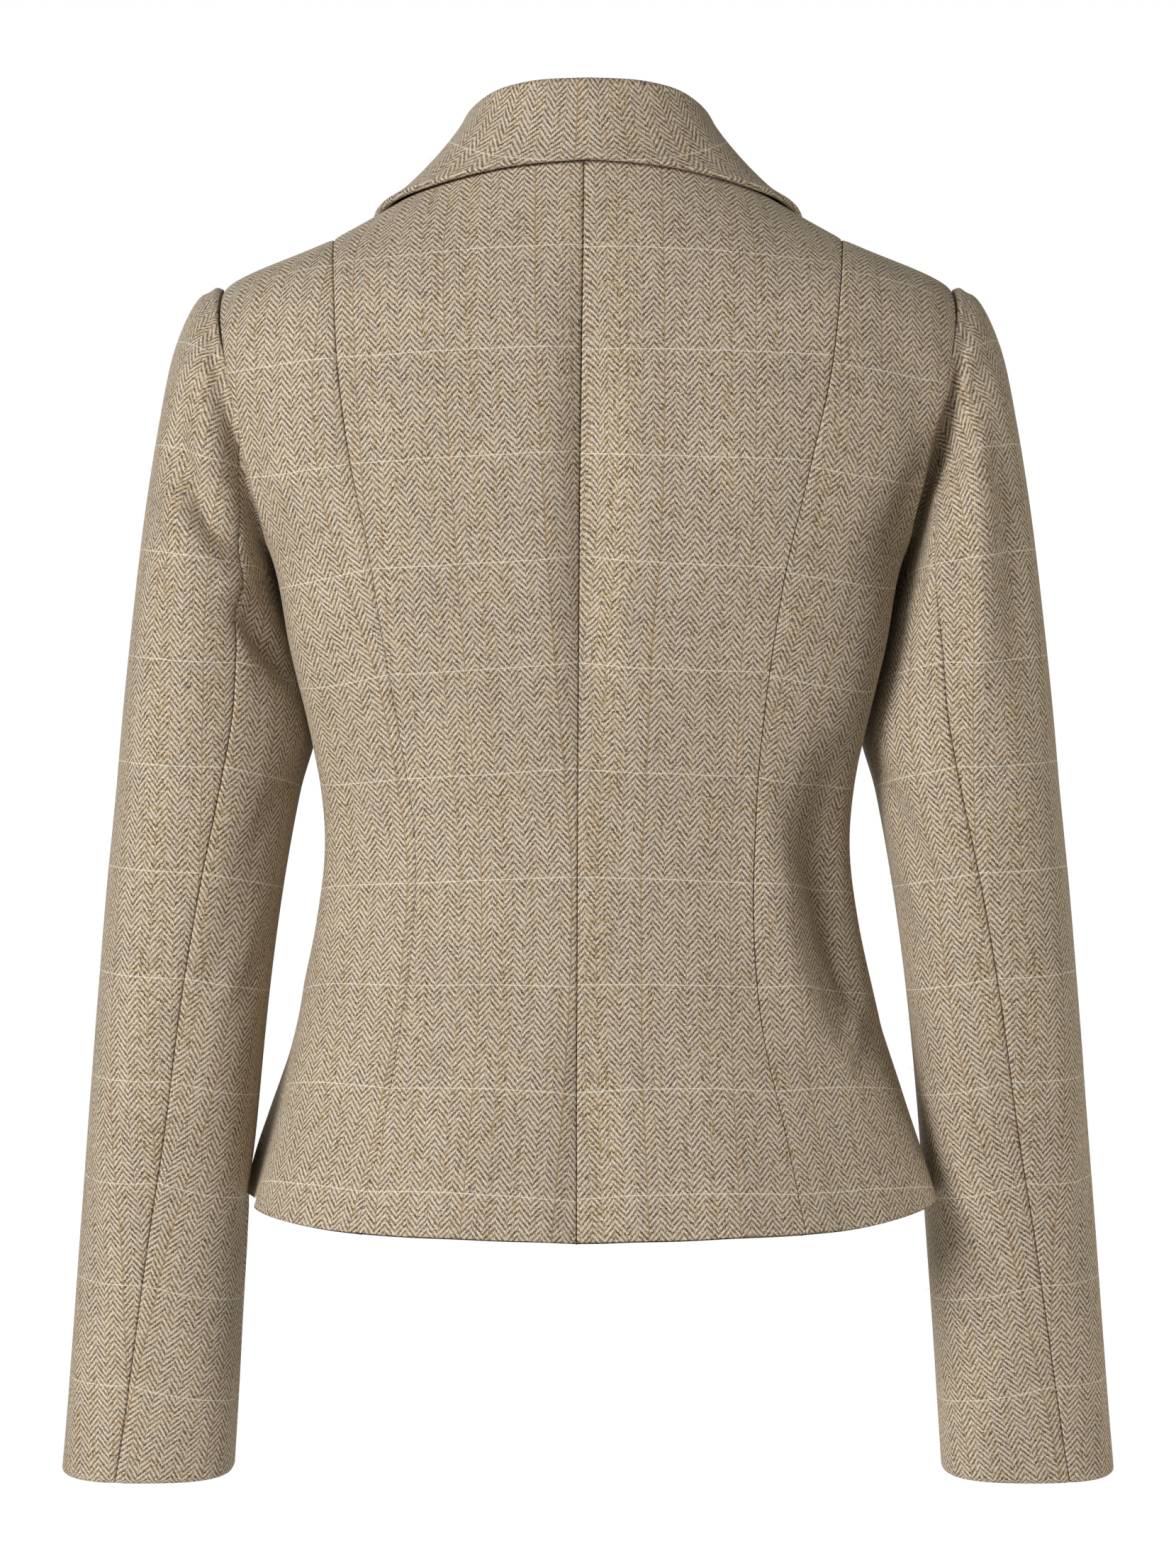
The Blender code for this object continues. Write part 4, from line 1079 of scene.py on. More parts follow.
def makeCollar():
    middle = np.stack([collarSection(place) for place in np.linspace(-1.0, 1.0, collar["stations"] + 1)])
    fall = runs(middle, 1)
    fromEdge = fall[:, -1:] - fall
    thick = collar["thickness"] + collar["edgeExtra"] * np.exp(-((fromEdge / collar["edgeReach"]) ** 2))
    normals = gridNormals(middle)
    shift = normals * 0.5 * collar["thickness"]
    outer, inner = middle - shift, middle + shift
    if np.dot(normals[len(middle) // 2, -1], (0.0, -1.0, 0.0)) > 0.0:
        outer, inner = middle + shift, middle - shift
    outer = outer + unit(outer - middle) * (thick - collar["thickness"])[..., None]
    # the fall is laid flat with its middle on the grain; roll and stand go on from it
    first = collar["standSteps"] + collar["rollSteps"] // 2
    grain = np.broadcast_to((0.0, 0.0, 1.0), middle[:, first:].shape)
    half = flatten(middle[:, first:], unit(outer - inner)[:, first:], grain, None, collar["flatRounds"])
    column = collar["grainColumn"]
    centre = np.array([np.interp(collar["grainX"], middle[:, column, 0], half[:, column, 0]),
                       np.interp(0.0, middle[:, -1, 0], half[:, -1, 1]) - collar["weftShift"]])
    way = unit(half[:, :1] - half[:, 1:2])
    stand = half[:, :1] + way * (fall[:, first:first + 1] - fall[:, :first])[..., None]
    uv = np.concatenate([stand, half], axis=1) - centre
    return clothShell("collar_cloth", outer, inner, uv, tweedCloth), uv


# Sleeves

sleeve = {
    "columns": ("zOut", "xOut", "zIn", "xIn", "yIn", "zMid", "xMid", "yBack", "yFront", "hindTurn"),
    "rows": (
        (-0.0806, 0.1994, -0.2185, 0.1602, 0.004, -0.157, 0.1860, -0.0690, 0.0660, 116.0),
        (-0.1058, 0.2117, -0.2255, 0.1580, 0.011, -0.172, 0.1900, -0.0715, 0.0690, 118.0),
        (-0.1420, 0.2194, -0.2340, 0.1560, 0.016, -0.192, 0.1925, -0.0715, 0.0695, 118.0),
        (-0.1900, 0.2268, -0.2470, 0.1522, 0.018, -0.220, 0.1940, -0.0695, 0.0680, 115.0),
        (-0.2400, 0.2328, -0.2680, 0.1470, 0.018, -0.255, 0.1945, -0.0660, 0.0655, 110.0),
        (-0.2900, 0.2382, -0.3000, 0.1402, 0.018, -0.295, 0.1940, -0.0620, 0.0630, 104.0),
        (-0.3350, 0.2424, -0.3350, 0.1488, 0.012, -0.335, 0.1956, -0.0590, 0.0580, 98.5),
        (-0.3850, 0.2473, -0.3850, 0.1573, 0.004, -0.385, 0.2023, -0.0560, 0.0540, 93.5),
        (-0.4400, 0.2520, -0.4400, 0.1643, 0.002, -0.440, 0.2082, -0.0520, 0.0530, 88.0),
        (-0.5000, 0.2574, -0.5000, 0.1702, 0.010, -0.500, 0.2138, -0.0400, 0.0590, 83.0),
        (-0.5550, 0.2624, -0.5550, 0.1746, 0.024, -0.555, 0.2185, -0.0250, 0.0690, 77.0),
        (-0.6100, 0.2668, -0.6100, 0.1788, 0.029, -0.610, 0.2228, -0.0150, 0.0710, 72.0),
        (-0.6550, 0.2708, -0.6550, 0.1820, 0.036, -0.655, 0.2264, -0.0040, 0.0750, 68.0),
        (-0.6860, 0.2738, -0.6860, 0.1842, 0.040, -0.686, 0.2290, 0.0020, 0.0780, 65.0),
    ),
    "headTurn": 94.0,  # place of the hindarm seam on the armhole
    "forearmTurn": 225.0,
    "square": 0.085,  # how far the rings are squared off below the head
    "squareRows": 4.0,
    "leftCuffTwist": 6.0,
    "topColumns": 90,
    "underColumns": 54,
    "lines": 200,
    "headHeight": 0.0022,  # cloth that stands up at the head
    "headReach": 0.0065,
    "headSpread": 75.0,
    "hollowDepth": {1: 0.020, -1: 0.006},  # the cloth falls in behind the armhole
    "hollowReach": 0.014,
    "hollowTurn": 125.0,
    "hollowSpread": 50.0,
    "clear": 0.0030,  # least distance from the body
    "clearSoft": 0.0020,
    "clearRows": (1.0, 2.5),
    "weftPlace": 7.0,
    "weftShift": 0.0168,
    "topGrain": (0.2435, -0.515),  # x and z of a point on a gold line
    "underGrain": (0.189, -0.4755),
    "headLean": 0.08,  # the grain leans in at the head
    "headRows": 4.0,
    "underLean": 0.20,
    "flatRounds": 14,
    "foldPoints": 41,  # points along each fold
    "foldBends": 5,
}

sleeveFolds = {
    "columns": ("side", "turnLow", "low", "turnHigh", "high", "halfWidth", "height"),
    "rows": (
        (1, 62.0, 0.6, 40.0, 4.4, 0.012, -0.0030),  # the largest folds, as in the solids
        (-1, 66.0, 0.6, 44.0, 4.6, 0.012, -0.0032),
        (1, 105.0, 0.8, 122.0, 5.5, 0.012, 0.0025),
        (-1, 105.0, 0.8, 122.0, 5.5, 0.012, 0.0025),
        (1, 150.0, 7.0, 95.0, 9.4, 0.013, -0.0022),
        (-1, 146.0, 7.2, 92.0, 9.6, 0.013, -0.0022),
        (1, 26.0, 1.9, 112.0, 1.1, 0.0120, -0.0085),  # back of the head and of the upper arm
        (1, 34.0, 1.9, 80.0, 2.0, 0.009, 0.0022),
        (1, 80.0, 1.7, 86.0, 6.4, 0.008, 0.0052),
        (1, 58.0, 2.0, 54.0, 6.6, 0.012, -0.0060),
        (-1, 40.0, 2.9, 124.0, 3.1, 0.0098, -0.0105),
        (-1, 34.0, 3.5, 108.0, 3.7, 0.010, 0.0030),
        (-1, 66.0, 0.9, 108.0, 0.8, 0.010, 0.0020),
        (-1, 108.0, 4.0, 154.0, 5.5, 0.0090, -0.0080),
        (-1, 96.0, 3.9, 128.0, 4.1, 0.010, 0.0018),
        (-1, 62.0, 3.6, 58.0, 6.6, 0.012, -0.0022),
        (1, 160.0, 6.4, 112.0, 8.4, 0.008, -0.0022),  # elbow
        (1, 175.0, 7.6, 120.0, 9.0, 0.009, -0.0019),
        (-1, 165.0, 6.2, 114.0, 8.0, 0.009, -0.0021),
        (-1, 172.0, 7.8, 118.0, 9.4, 0.008, -0.0019),
        (1, -60.0, 7.4, -118.0, 8.8, 0.009, -0.0022),
        (1, -40.0, 6.2, -100.0, 7.4, 0.008, -0.0016),
        (-1, -64.0, 7.0, -120.0, 8.6, 0.009, -0.0022),
        (-1, -30.0, 8.2, -90.0, 9.6, 0.008, -0.0016),
        (1, -60.0, 0.8, -40.0, 4.6, 0.012, -0.0022),  # front of the head
        (-1, -62.0, 0.7, -42.0, 4.4, 0.012, -0.0024),
        (1, 20.0, 9.5, 60.0, 12.5, 0.014, -0.0016),  # forearm
        (-1, 30.0, 10.0, 64.0, 13.2, 0.013, -0.0018),
        (1, -20.0, 10.6, -60.0, 13.6, 0.012, -0.0014),
        (-1, -10.0, 10.2, -52.0, 13.0, 0.013, -0.0016),
    ),
}


def sleeveTurns(side):
    hind = np.array([sleeve["headTurn"]] + [ring["hindTurn"] for ring in named(sleeve)])
    if side < 0:
        hind = hind + sleeve["leftCuffTwist"] * ease(np.arange(len(hind)) / (len(hind) - 1))
    top = np.linspace(hind, sleeve["forearmTurn"] - 360.0, sleeve["topColumns"] + 1, axis=1)
    under = np.linspace(hind, sleeve["forearmTurn"], sleeve["underColumns"] + 1, axis=1)
    return np.radians(np.concatenate([top[:, ::-1], under[:, 1:-1]], axis=1))


def ringPoints(side, ring, lean, turns, square):
    # a closed curve through the outer, back, inner and front points of a ring, squared off between them
    yMid = 0.5 * (ring["yBack"] + ring["yFront"])
    outer = np.array([ring["xOut"], yMid, ring["zOut"]])
    inner = np.array([ring["xIn"], ring["yIn"], ring["zIn"]])
    back = np.array([ring["xMid"], ring["yBack"], ring["zMid"] + lean * (ring["yBack"] - yMid)])
    front = np.array([ring["xMid"], ring["yFront"], ring["zMid"] + lean * (ring["yFront"] - yMid)])
    cosine, sine = np.cos(turns)[:, None], np.sin(turns)[:, None]
    centre = 0.25 * (outer + inner + back + front)
    spoke = cosine * 0.5 * (outer - inner) + sine * 0.5 * (back - front)
    points = centre + spoke * (1.0 + square * np.sin(2.0 * turns)[:, None] ** 2)
    points = points + np.cos(2.0 * turns)[:, None] * 0.25 * (outer + inner - back - front)
    return points * np.array([side, 1.0, 1.0])


def sleeveControl(side):
    turns, rings = sleeveTurns(side), named(sleeve)
    middles = np.array([0.5 * (ring["yBack"] + ring["yFront"]) for ring in rings])
    leans = -np.gradient(middles, np.array([ring["zMid"] for ring in rings]))
    squares = sleeve["square"] * ease(np.arange(len(rings)) / sleeve["squareRows"])
    rows = [torsoPoint(side, *armholeLine(turns[0]))]
    rows += [ringPoints(side, *values) for values in zip(rings, leans, turns[1:], squares)]
    return turns, np.stack(rows)


def sleeveFoldHeights(side, turns, places, points):
    # each fold follows a straight line of turns and places over the surface, and fades at its ends
    total = np.zeros(turns.shape)
    share = np.linspace(0.0, 1.0, sleeve["foldPoints"])
    powers = np.vander(share, sleeve["foldBends"])
    smooth = powers @ np.linalg.pinv(powers)  # takes the grid's steps out of a line
    for fold in named(sleeveFolds):
        if fold["side"] != side:
            continue
        lineTurns = np.radians(fold["turnLow"] + (fold["turnHigh"] - fold["turnLow"]) * share)
        linePlaces = fold["low"] + (fold["high"] - fold["low"]) * share
        rows = np.searchsorted(places, linePlaces).clip(0, len(places) - 1)
        columns = np.argmin(np.abs(turns[rows] - lineTurns[:, None]), axis=1)
        line = smooth @ points[rows, columns]
        step = np.gradient(line, axis=0)
        nearest = np.argmin(np.linalg.norm(points[:, :, None] - line, axis=-1), axis=-1)
        away, step = points - line[nearest], step[nearest]
        slide = (away * step).sum(axis=-1) / (step * step).sum(axis=-1)
        away = ((away - slide[..., None] * step) ** 2).sum(axis=-1)
        nearest = np.clip((nearest + slide) / (len(share) - 1), 0.0, 1.0)
        total += fold["height"] * np.sin(math.pi * nearest) * np.exp(-away / fold["halfWidth"] ** 2)
    return total


def closedNormals(side, points):
    along = np.roll(points, -1, axis=1) - np.roll(points, 1, axis=1)
    return side * unit(np.cross(along, np.gradient(points, axis=0)))


def clearOfBody(side, points, places):
    # moves what would lie in the body out to its side
    heights = [row[0] for row in torso["rows"]]
    level = np.interp(points[..., 2], heights, np.arange(len(heights)))
    row = tableRow(torso, level)
    behind = points[..., 1] < row["ySide"]
    square = np.where(behind, row["squareBack"], row["squareFront"])
    depth = np.where(behind, row["yBack"], row["yFront"]) - row["ySide"]
    deep = np.clip((points[..., 1] - row["ySide"]) / depth, 0.0, 1.0)
    turn = np.where(behind, -1.0, 1.0) * np.arcsin(deep ** (square / 2.0))
    edge = row["xSide"] * (1.0 - deep**square) ** (1.0 / square) + foldHeights(side, turn, level)
    first, last = sleeve["clearRows"]
    share = ease((places - first) / (last - first))[:, None]
    short = edge + sleeve["clear"] - side * points[..., 0]
    short = 0.5 * (short + np.sqrt(short**2 + sleeve["clearSoft"] ** 2)) * share
    return points + side * short[..., None] * np.array([1.0, 0.0, 0.0])


def sleeveSurface(side, places):
    # points and outward directions of the whole tube at some places along it
    turns, control = sleeveControl(side)
    points, turns = finer(control, places, 0), rowsAt(turns, places)
    outward = closedNormals(side, points)
    fromHead = runs(points, 0)
    head = np.exp(-(((fromHead - sleeve["headReach"]) / sleeve["headReach"]) ** 2))
    head = sleeve["headHeight"] * head * np.exp(-((np.degrees(turns) / sleeve["headSpread"]) ** 2))
    aside = (np.degrees(turns) - sleeve["hollowTurn"]) / sleeve["hollowSpread"]
    hollow = fromHead / sleeve["hollowReach"]
    hollow = sleeve["hollowDepth"][side] * hollow * np.exp(1.0 - hollow)
    hollow = hollow * np.exp(-(aside**2))
    points = points + outward * (sleeveFoldHeights(side, turns, places, points) + head)[..., None]
    points = points + hollow[..., None] * np.array([0.0, 1.0, 0.0])
    points = clearOfBody(side, points, places)
    return turns, points, closedNormals(side, points)


def sleevePattern(side, places, points, outward, under, seamWeft):
    # flat pattern of one half of a sleeve, worked out on every second row and column
    shape, out, rows = points[::2, ::2], outward[::2, ::2], places[::2]
    lean = np.full(len(rows), sleeve["underLean"])
    if not under:
        lean = sleeve["headLean"] * ease(1.0 - rows / sleeve["headRows"])
    grain = np.stack([-side * lean, np.zeros(len(rows)), np.ones(len(rows))], axis=-1)[:, None]
    uv = flatten(shape, out, np.broadcast_to(grain, shape.shape), seamWeft, sleeve["flatRounds"])
    if not under:
        outerColumn = np.argmax(side * shape[len(rows) // 2, :, 0])
        uv[..., 1] -= np.interp(sleeve["weftPlace"], rows, uv[:, outerColumn, 1]) + sleeve["weftShift"]
    x, z = sleeve["underGrain"] if under else sleeve["topGrain"]
    miss = (side * shape[..., 0] - x) ** 2 + (shape[..., 2] - z) ** 2 + 1.0 * (out[..., 1] > 0.0)
    uv[..., 0] -= uv[..., 0].ravel()[np.argmin(miss)]
    return uv


def makeSleeve(side):
    places = np.linspace(0.0, len(sleeve["rows"]), sleeve["lines"] + 1)
    shares = np.array(cloth["edgeShares"])
    _, wholePoints, wholeOutward = sleeveSurface(side, places)
    finePlaces = np.sort(np.concatenate([places, places[1] * shares]))
    turns, points, outward = sleeveSurface(side, finePlaces)
    hind = sleeve["topColumns"]
    halves = {"sleeve_top": np.arange(hind, -1, -1),
              "sleeve_under": np.append(np.arange(hind, points.shape[1]), 0)}
    made, seamWeft = {}, None
    for name, columns in halves.items():
        uv = sleevePattern(side, places, wholePoints[:, columns], wholeOutward[:, columns],
                           name == "sleeve_under", seamWeft)
        seamWeft = uv[:, 0, 1]
        uv = finer(finer(uv, 0.5 * finePlaces / places[1], 0), 0.5 * np.arange(len(columns)), 1)
        draw = drawnIn(np.cos(turns[0, columns]))
        shape, out, uv, draw = (closerEdges(item, 1) for item in
                                (points[:, columns], outward[:, columns], uv, draw[None, :]))
        seams = ("left", "right", "bottom")
        outer, inner = panelWalls(shape, unit(out), seams, "top", ("bottom", draw))
        node = f"{name}_{sideWord(side)}"
        made[node] = (clothShell(f"{node}_cloth", outer, inner, uv, tweedCloth, seams), uv)
    return made


made = {}
for side in (-1, 1):
    word = sideWord(side)
    made[f"back_{word}"] = makeBack(side)
    made[f"side_back_{word}"] = makeSideBack(side, made[f"back_{word}"][2])
    made[f"front_{word}"] = makeFront(side)
    made[f"lapel_{word}"] = makeLapel(side)
    made.update(makeSleeve(side))
made["collar"] = makeCollar()
print("cloth meshes made:", len(made))

for node, (piece, uv, *_) in made.items():
    kind, _, word = node.rpartition("_")
    if node == "collar":
        dress(piece, node, uv)
    elif kind == "lapel":
        dress(piece, node, uv)
    else:
        dress(piece, node, uv)

# Buttons, sewn to the left front through the holes of the right one

button = {
    "levels": (4.90, 3.15),
    "radius": 0.0100,
    "stand": 0.0006,  # above the cloth
    "profile": (  # share of the radius, height
        (0.80, 0.0000), (0.88, 0.0002), (0.96, 0.0008), (0.995, 0.0016), (1.00, 0.0026),
        (0.98, 0.0035), (0.94, 0.0040), (0.88, 0.0042), (0.81, 0.0041), (0.76, 0.0038),
        (0.71, 0.0034), (0.64, 0.0032),
    ),
    "segments": 72,
    "sharp": 40.0,  # degrees, for a crisp edge
    "holeRadius": 0.00095,
    "holeSpread": 0.0019,  # from the middle, across and up
    "holeEnds": (-0.002, 0.007),  # heights that a hole is cut between
    "holeSides": 20,
    "threadRadius": 0.00030,
    "strands": 3,
    "strandStep": 1.7,  # from strand to strand, in thread radii
    "strandDrop": 0.00012,  # the outer strands lie lower
    "strandPoints": 15,
    "strandRise": 0.0006,  # above the dish
    "strandDip": 0.0032,  # down into the holes
    "strandBend": 6.0,
    "shankRadius": 0.0017,
    "shankTop": 0.0001,
    "shankSides": 16,
    "streaks": (260.0, 260.0, 900.0),
    "streakFade": (0.42, 0.78),
    "streakShare": 0.8,
    "grainShare": 0.2,
    "grainScale": 1800.0,
    "gloss": (0.26, 0.16),  # roughness, and more with the grain
    "bump": 0.15,
    "bumpDistance": 0.0002,
    "dark": tone(40, 28, 20),
    "pale": tone(104, 76, 50),
    "thread": tone(122, 102, 76),
    "threadPale": tone(166, 146, 114),
    "threadScale": 2600.0,
    "threadFade": (0.3, 0.7),
    "threadRoughness": 0.85,
}


def hornMaterial():
    material, shader, start = shaderStart("horn")
    spot = start.node("ShaderNodeTexCoord", None, None, "Object")
    drawn = start.node("ShaderNodeMapping", None, {"Vector": spot, "Scale": button["streaks"]})
    streak = start.node("ShaderNodeTexNoise", None,
                        {"Vector": drawn, "Scale": 1.0, "Detail": 4.0, "Distortion": 1.2})
    grain = start.objectNoise(button["grainScale"], 2.0)
    streaked = streak.fade(*button["streakFade"]) * button["streakShare"]
    mixed = streaked + (grain - 0.5) * button["grainShare"]
    values = {"Strength": button["bump"], "Distance": button["bumpDistance"], "Height": grain}
    least, more = button["gloss"]
    start.feed(shader, {
        "Base Color": mixed.mix(button["dark"], button["pale"]),
        "Roughness": grain * more + least,
        "Normal": start.node("ShaderNodeBump", None, values),
    })
    return material


def threadMaterial(name, colour, lighter):
    material, shader, start = shaderStart(name)
    strand = start.objectNoise(button["threadScale"], 2.0).fade(*button["threadFade"])
    start.feed(shader, {"Base Color": strand.mix(colour, lighter),
                        "Roughness": button["threadRoughness"]})
    return material


horn = hornMaterial()
thread = threadMaterial("thread", button["thread"], button["threadPale"])


def frontSpot(x, level):
    # a point of the right front's outer face, with the directions across, up and out
    turn = turnAt(np.array(float(x)), np.array(float(level)), False)
    point, outward = torsoPoint(1, turn, level), torsoNormal(1, turn, level)
    across = unit(np.cross(np.array([0.0, 0.0, 1.0]), outward))
    return point + outward * lapLift(point), np.stack([across, np.cross(outward, across), outward])


def closedRings(rings):
    # closed bar through rings of points, with a face at each end
    count, sides = rings.shape[:2]
    place = np.arange(count * sides).reshape(count, sides)
    after = np.roll(place, -1, axis=1)
    quads = np.stack([place[:-1], after[:-1], after[1:], place[1:]], axis=-1).reshape(-1, 4)
    faces = quads.tolist() + [place[0, ::-1].tolist(), place[-1].tolist()]
    return rings.reshape(-1, 3), faces


def tube(path, binormal, radius, sides=8):
    # closed round bar along a path that lies in one plane
    along = unit(np.gradient(path, axis=0))
    normal = unit(np.cross(along, binormal))
    angles = 2.0 * math.pi * np.arange(sides) / sides
    spokes = np.cos(angles)[:, None] * normal[:, None] + np.sin(angles)[:, None] * binormal
    return closedRings(path[:, None] + radius * spokes)


def gatheredMesh(parts):
    points, faces, count = [], [], 0
    for some, rings in parts:
        points.append(some)
        faces += [[index + count for index in ring] for ring in rings]
        count += len(some)
    return np.concatenate(points), faces


def makeButton(number, level):
    surface, frameRows = frontSpot(0.0, level)
    base = surface + frameRows[2] * button["stand"]
    spread, wide = button["holeSpread"], button["segments"]
    angles = 2.0 * math.pi * np.arange(wide) / wide
    circle = np.stack([np.cos(angles), np.sin(angles), 0.0 * angles], axis=-1)
    points, faces = closedRings(np.stack([circle * (share * button["radius"]) + (0.0, 0.0, height)
                                          for share, height in button["profile"]]))
    disc = plainObject(f"button_{number}_horn", base + points @ frameRows, faces, horn)
    upright = np.array([0.0, 1.0, 0.0])
    bores = []
    for x in (-spread, spread):
        for y in (-spread, spread):
            path = np.array([(x, y, height) for height in button["holeEnds"]])
            bores.append(tube(path, upright, button["holeRadius"], button["holeSides"]))
    points, faces = gatheredMesh(bores)
    cutter = plainObject("bores", base + points @ frameRows, faces, horn)
    cut = disc.modifiers.new("holes", "BOOLEAN")
    cut.operation, cut.solver, cut.object = "DIFFERENCE", "EXACT", cutter
    disc.data = evaluatedMesh(disc)
    disc.data.set_sharp_from_angle(angle=math.radians(button["sharp"]))
    bpy.data.objects.remove(cutter)
    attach(disc, "root")
    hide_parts(f"button_{number}")

    bend = np.linspace(-1.0, 1.0, button["strandPoints"])
    arch = button["profile"][-1][1] + button["strandRise"]
    arch = arch - button["strandDip"] * np.abs(bend) ** button["strandBend"]
    shank = np.array([(0.0, 0.0, -button["stand"]), (0.0, 0.0, button["shankTop"])])
    strands = [tube(shank, upright, button["shankRadius"], button["shankSides"])]
    for y in (-spread, spread):
        for step in np.arange(button["strands"]) - 0.5 * (button["strands"] - 1):
            height = arch - button["strandDrop"] * abs(step)
            beside = 0.0 * bend + y + step * button["strandStep"] * button["threadRadius"]
            line = np.stack([bend * spread, beside, height], axis=-1)
            strands.append(tube(line, upright, button["threadRadius"]))
    points, faces = gatheredMesh(strands)
    sewn = plainObject(f"button_{number}_thread", base + points @ frameRows, faces, thread)
    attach(sewn, "root")


for number, level in enumerate(button["levels"], 1):
    makeButton(number, level)
print("buttons made:", len(button["levels"]))

# Node trees that grow stitches and fibres


def growTree(name, sizes):
    tree = bpy.data.node_groups.new(name, "GeometryNodeTree")
    tree.interface.new_socket("Geometry", in_out="OUTPUT", socket_type="NodeSocketGeometry")
    tree.interface.new_socket("Geometry", in_out="INPUT", socket_type="NodeSocketGeometry")
    for size, value in sizes.items():
        kind = "NodeSocketInt" if isinstance(value, int) else "NodeSocketFloat"
        tree.interface.new_socket(size, in_out="INPUT", socket_type=kind)
    first = tree.nodes.new("NodeGroupInput")
    return tree, {socket.name: Wire(tree, socket) for socket in first.outputs if socket.name}


def grown(name, host, tree, instances, sizes, material):
    start = Wire(tree)
    real = start.node("GeometryNodeRealizeInstances", None, {"Geometry": instances})
    painted = start.node("GeometryNodeSetMaterial", None, {"Geometry": real, "Material": material})
    start.node("NodeGroupOutput", None, {"Geometry": painted})
    modifier = host.modifiers.new("grow", "NODES")
    modifier.node_group = tree
    for item in tree.interface.items_tree:
        if item.in_out == "INPUT" and item.name in sizes:
            modifier[item.identifier] = sizes[item.name]
    mesh = evaluatedMesh(host)
    bpy.data.objects.remove(host)
    piece = placed(name, mesh)
    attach(piece, "root")
    return piece


buttonhole = {
    "from": -0.003,  # x of its two ends
    "to": 0.021,
    "half": 0.0010,  # slit to the middle of a stitch
    "Spacing": 0.00062,
    "Length": 0.0021,
    "Width": 0.00052,
    # a thin dark tube along each cut, its colours painted shadow in the opening
    "slit_shadow": 0.00035,
    "slitShadowDark": tone(46, 36, 28),
    "slitShadowPale": tone(70, 56, 44),
    "steps": 25,
}


def makeButtonholes():
    loops, outs, edges, slitShadows = [], [], [], []
    for level in button["levels"]:
        places = np.linspace(buttonhole["from"], buttonhole["to"], buttonhole["steps"])
        middle, ways = (np.array(part) for part in zip(*(frontSpot(x, level) for x in places)))
        half = buttonhole["half"]
        up = ways[:, 1] * half
        ends = [middle[-1] + ways[-1, 0] * half, middle[0] - ways[0, 0] * half]
        if np.dot(ends[0] - middle[-1], middle[-1] - middle[-2]) < 0.0:
            ends = [2.0 * middle[-1] - ends[0], 2.0 * middle[0] - ends[1]]
        count = sum(len(loop) for loop in loops)
        loops.append(np.concatenate([middle + up, ends[:1], (middle - up)[::-1], ends[1:]]))
        outs.append(np.concatenate([ways[:, 2], ways[-1:, 2], ways[::-1, 2], ways[:1, 2]]))
        size = len(loops[-1])
        edges += [(count + step, count + (step + 1) % size) for step in range(size)]
        slitShadows.append(tube(middle, ways[len(ways) // 2, 1], buttonhole["slit_shadow"]))
    mesh = meshOf("buttonhole_path", np.concatenate(loops), [], edges)
    outward = mesh.attributes.new("out", "FLOAT_VECTOR", "POINT")
    outward.data.foreach_set("vector", np.concatenate(outs).ravel())
    host = placed("buttonhole_path", mesh)

    sizes = {size: buttonhole[size] for size in ("Spacing", "Length", "Width")}
    tree, given = growTree("buttonhole_stitches", sizes)
    start = Wire(tree)
    curve = start.node("GeometryNodeMeshToCurve", None, {"Mesh": given["Geometry"]})
    points = start.node("GeometryNodeResampleCurve", {"mode": "LENGTH"},
                        {"Curve": curve, "Length": given["Spacing"]})
    out = start.node("GeometryNodeInputNamedAttribute", {"data_type": "FLOAT_VECTOR"},
                     {"Name": "out"})
    tangent = start.node("GeometryNodeInputTangent")
    upright = start.node("FunctionNodeAlignRotationToVector", {"axis": "Z"}, {"Vector": out})
    turned = start.node("FunctionNodeAlignRotationToVector", {"axis": "X", "pivot_axis": "Z"},
                        {"Rotation": upright, "Vector": tangent})
    scale = start.node("ShaderNodeCombineXYZ", None,
                       {0: given["Width"], 1: given["Length"], 2: given["Width"]})
    stitch = start.node("GeometryNodeMeshUVSphere", None, {"Segments": 8, "Rings": 6, "Radius": 0.5})
    stitches = start.node("GeometryNodeInstanceOnPoints", None,
                          {"Points": points, "Instance": stitch, "Rotation": turned, "Scale": scale})
    grown("buttonhole_stitches", host, tree, stitches, sizes, thread)
    # dark tubes along the cuts: painted shadow inside the buttonhole openings
    points, faces = gatheredMesh(slitShadows)
    shadow = threadMaterial("slit_shadow", buttonhole["slitShadowDark"], buttonhole["slitShadowPale"])
    slit_shadow = plainObject("buttonhole_slit_shadows", points, faces, shadow)
    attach(slit_shadow, "root")


makeButtonholes()
print("buttonholes made")

nap = {
    "Density": 3200.0,  # fibres for each square metre of cloth
    "Shortest": 0.0008,
    "Longest": 0.0026,
    "Lean": 1.25,  # radians away from upright
    "leastLean": 0.2,
    "thickness": 0.018,  # share of a fibre's length
    "bend": {"Resolution": 4, "Start": (0.0, 0.0, -0.05), "Start Handle": (0.0, 0.0, 0.5),
             "End Handle": (0.05, 0.1, 0.8), "End": (0.45, 0.0, 0.95)},
    "Seed": 11,
    "fibre": tone(206, 192, 166),
    "lightest": tone(238, 230, 212),
}


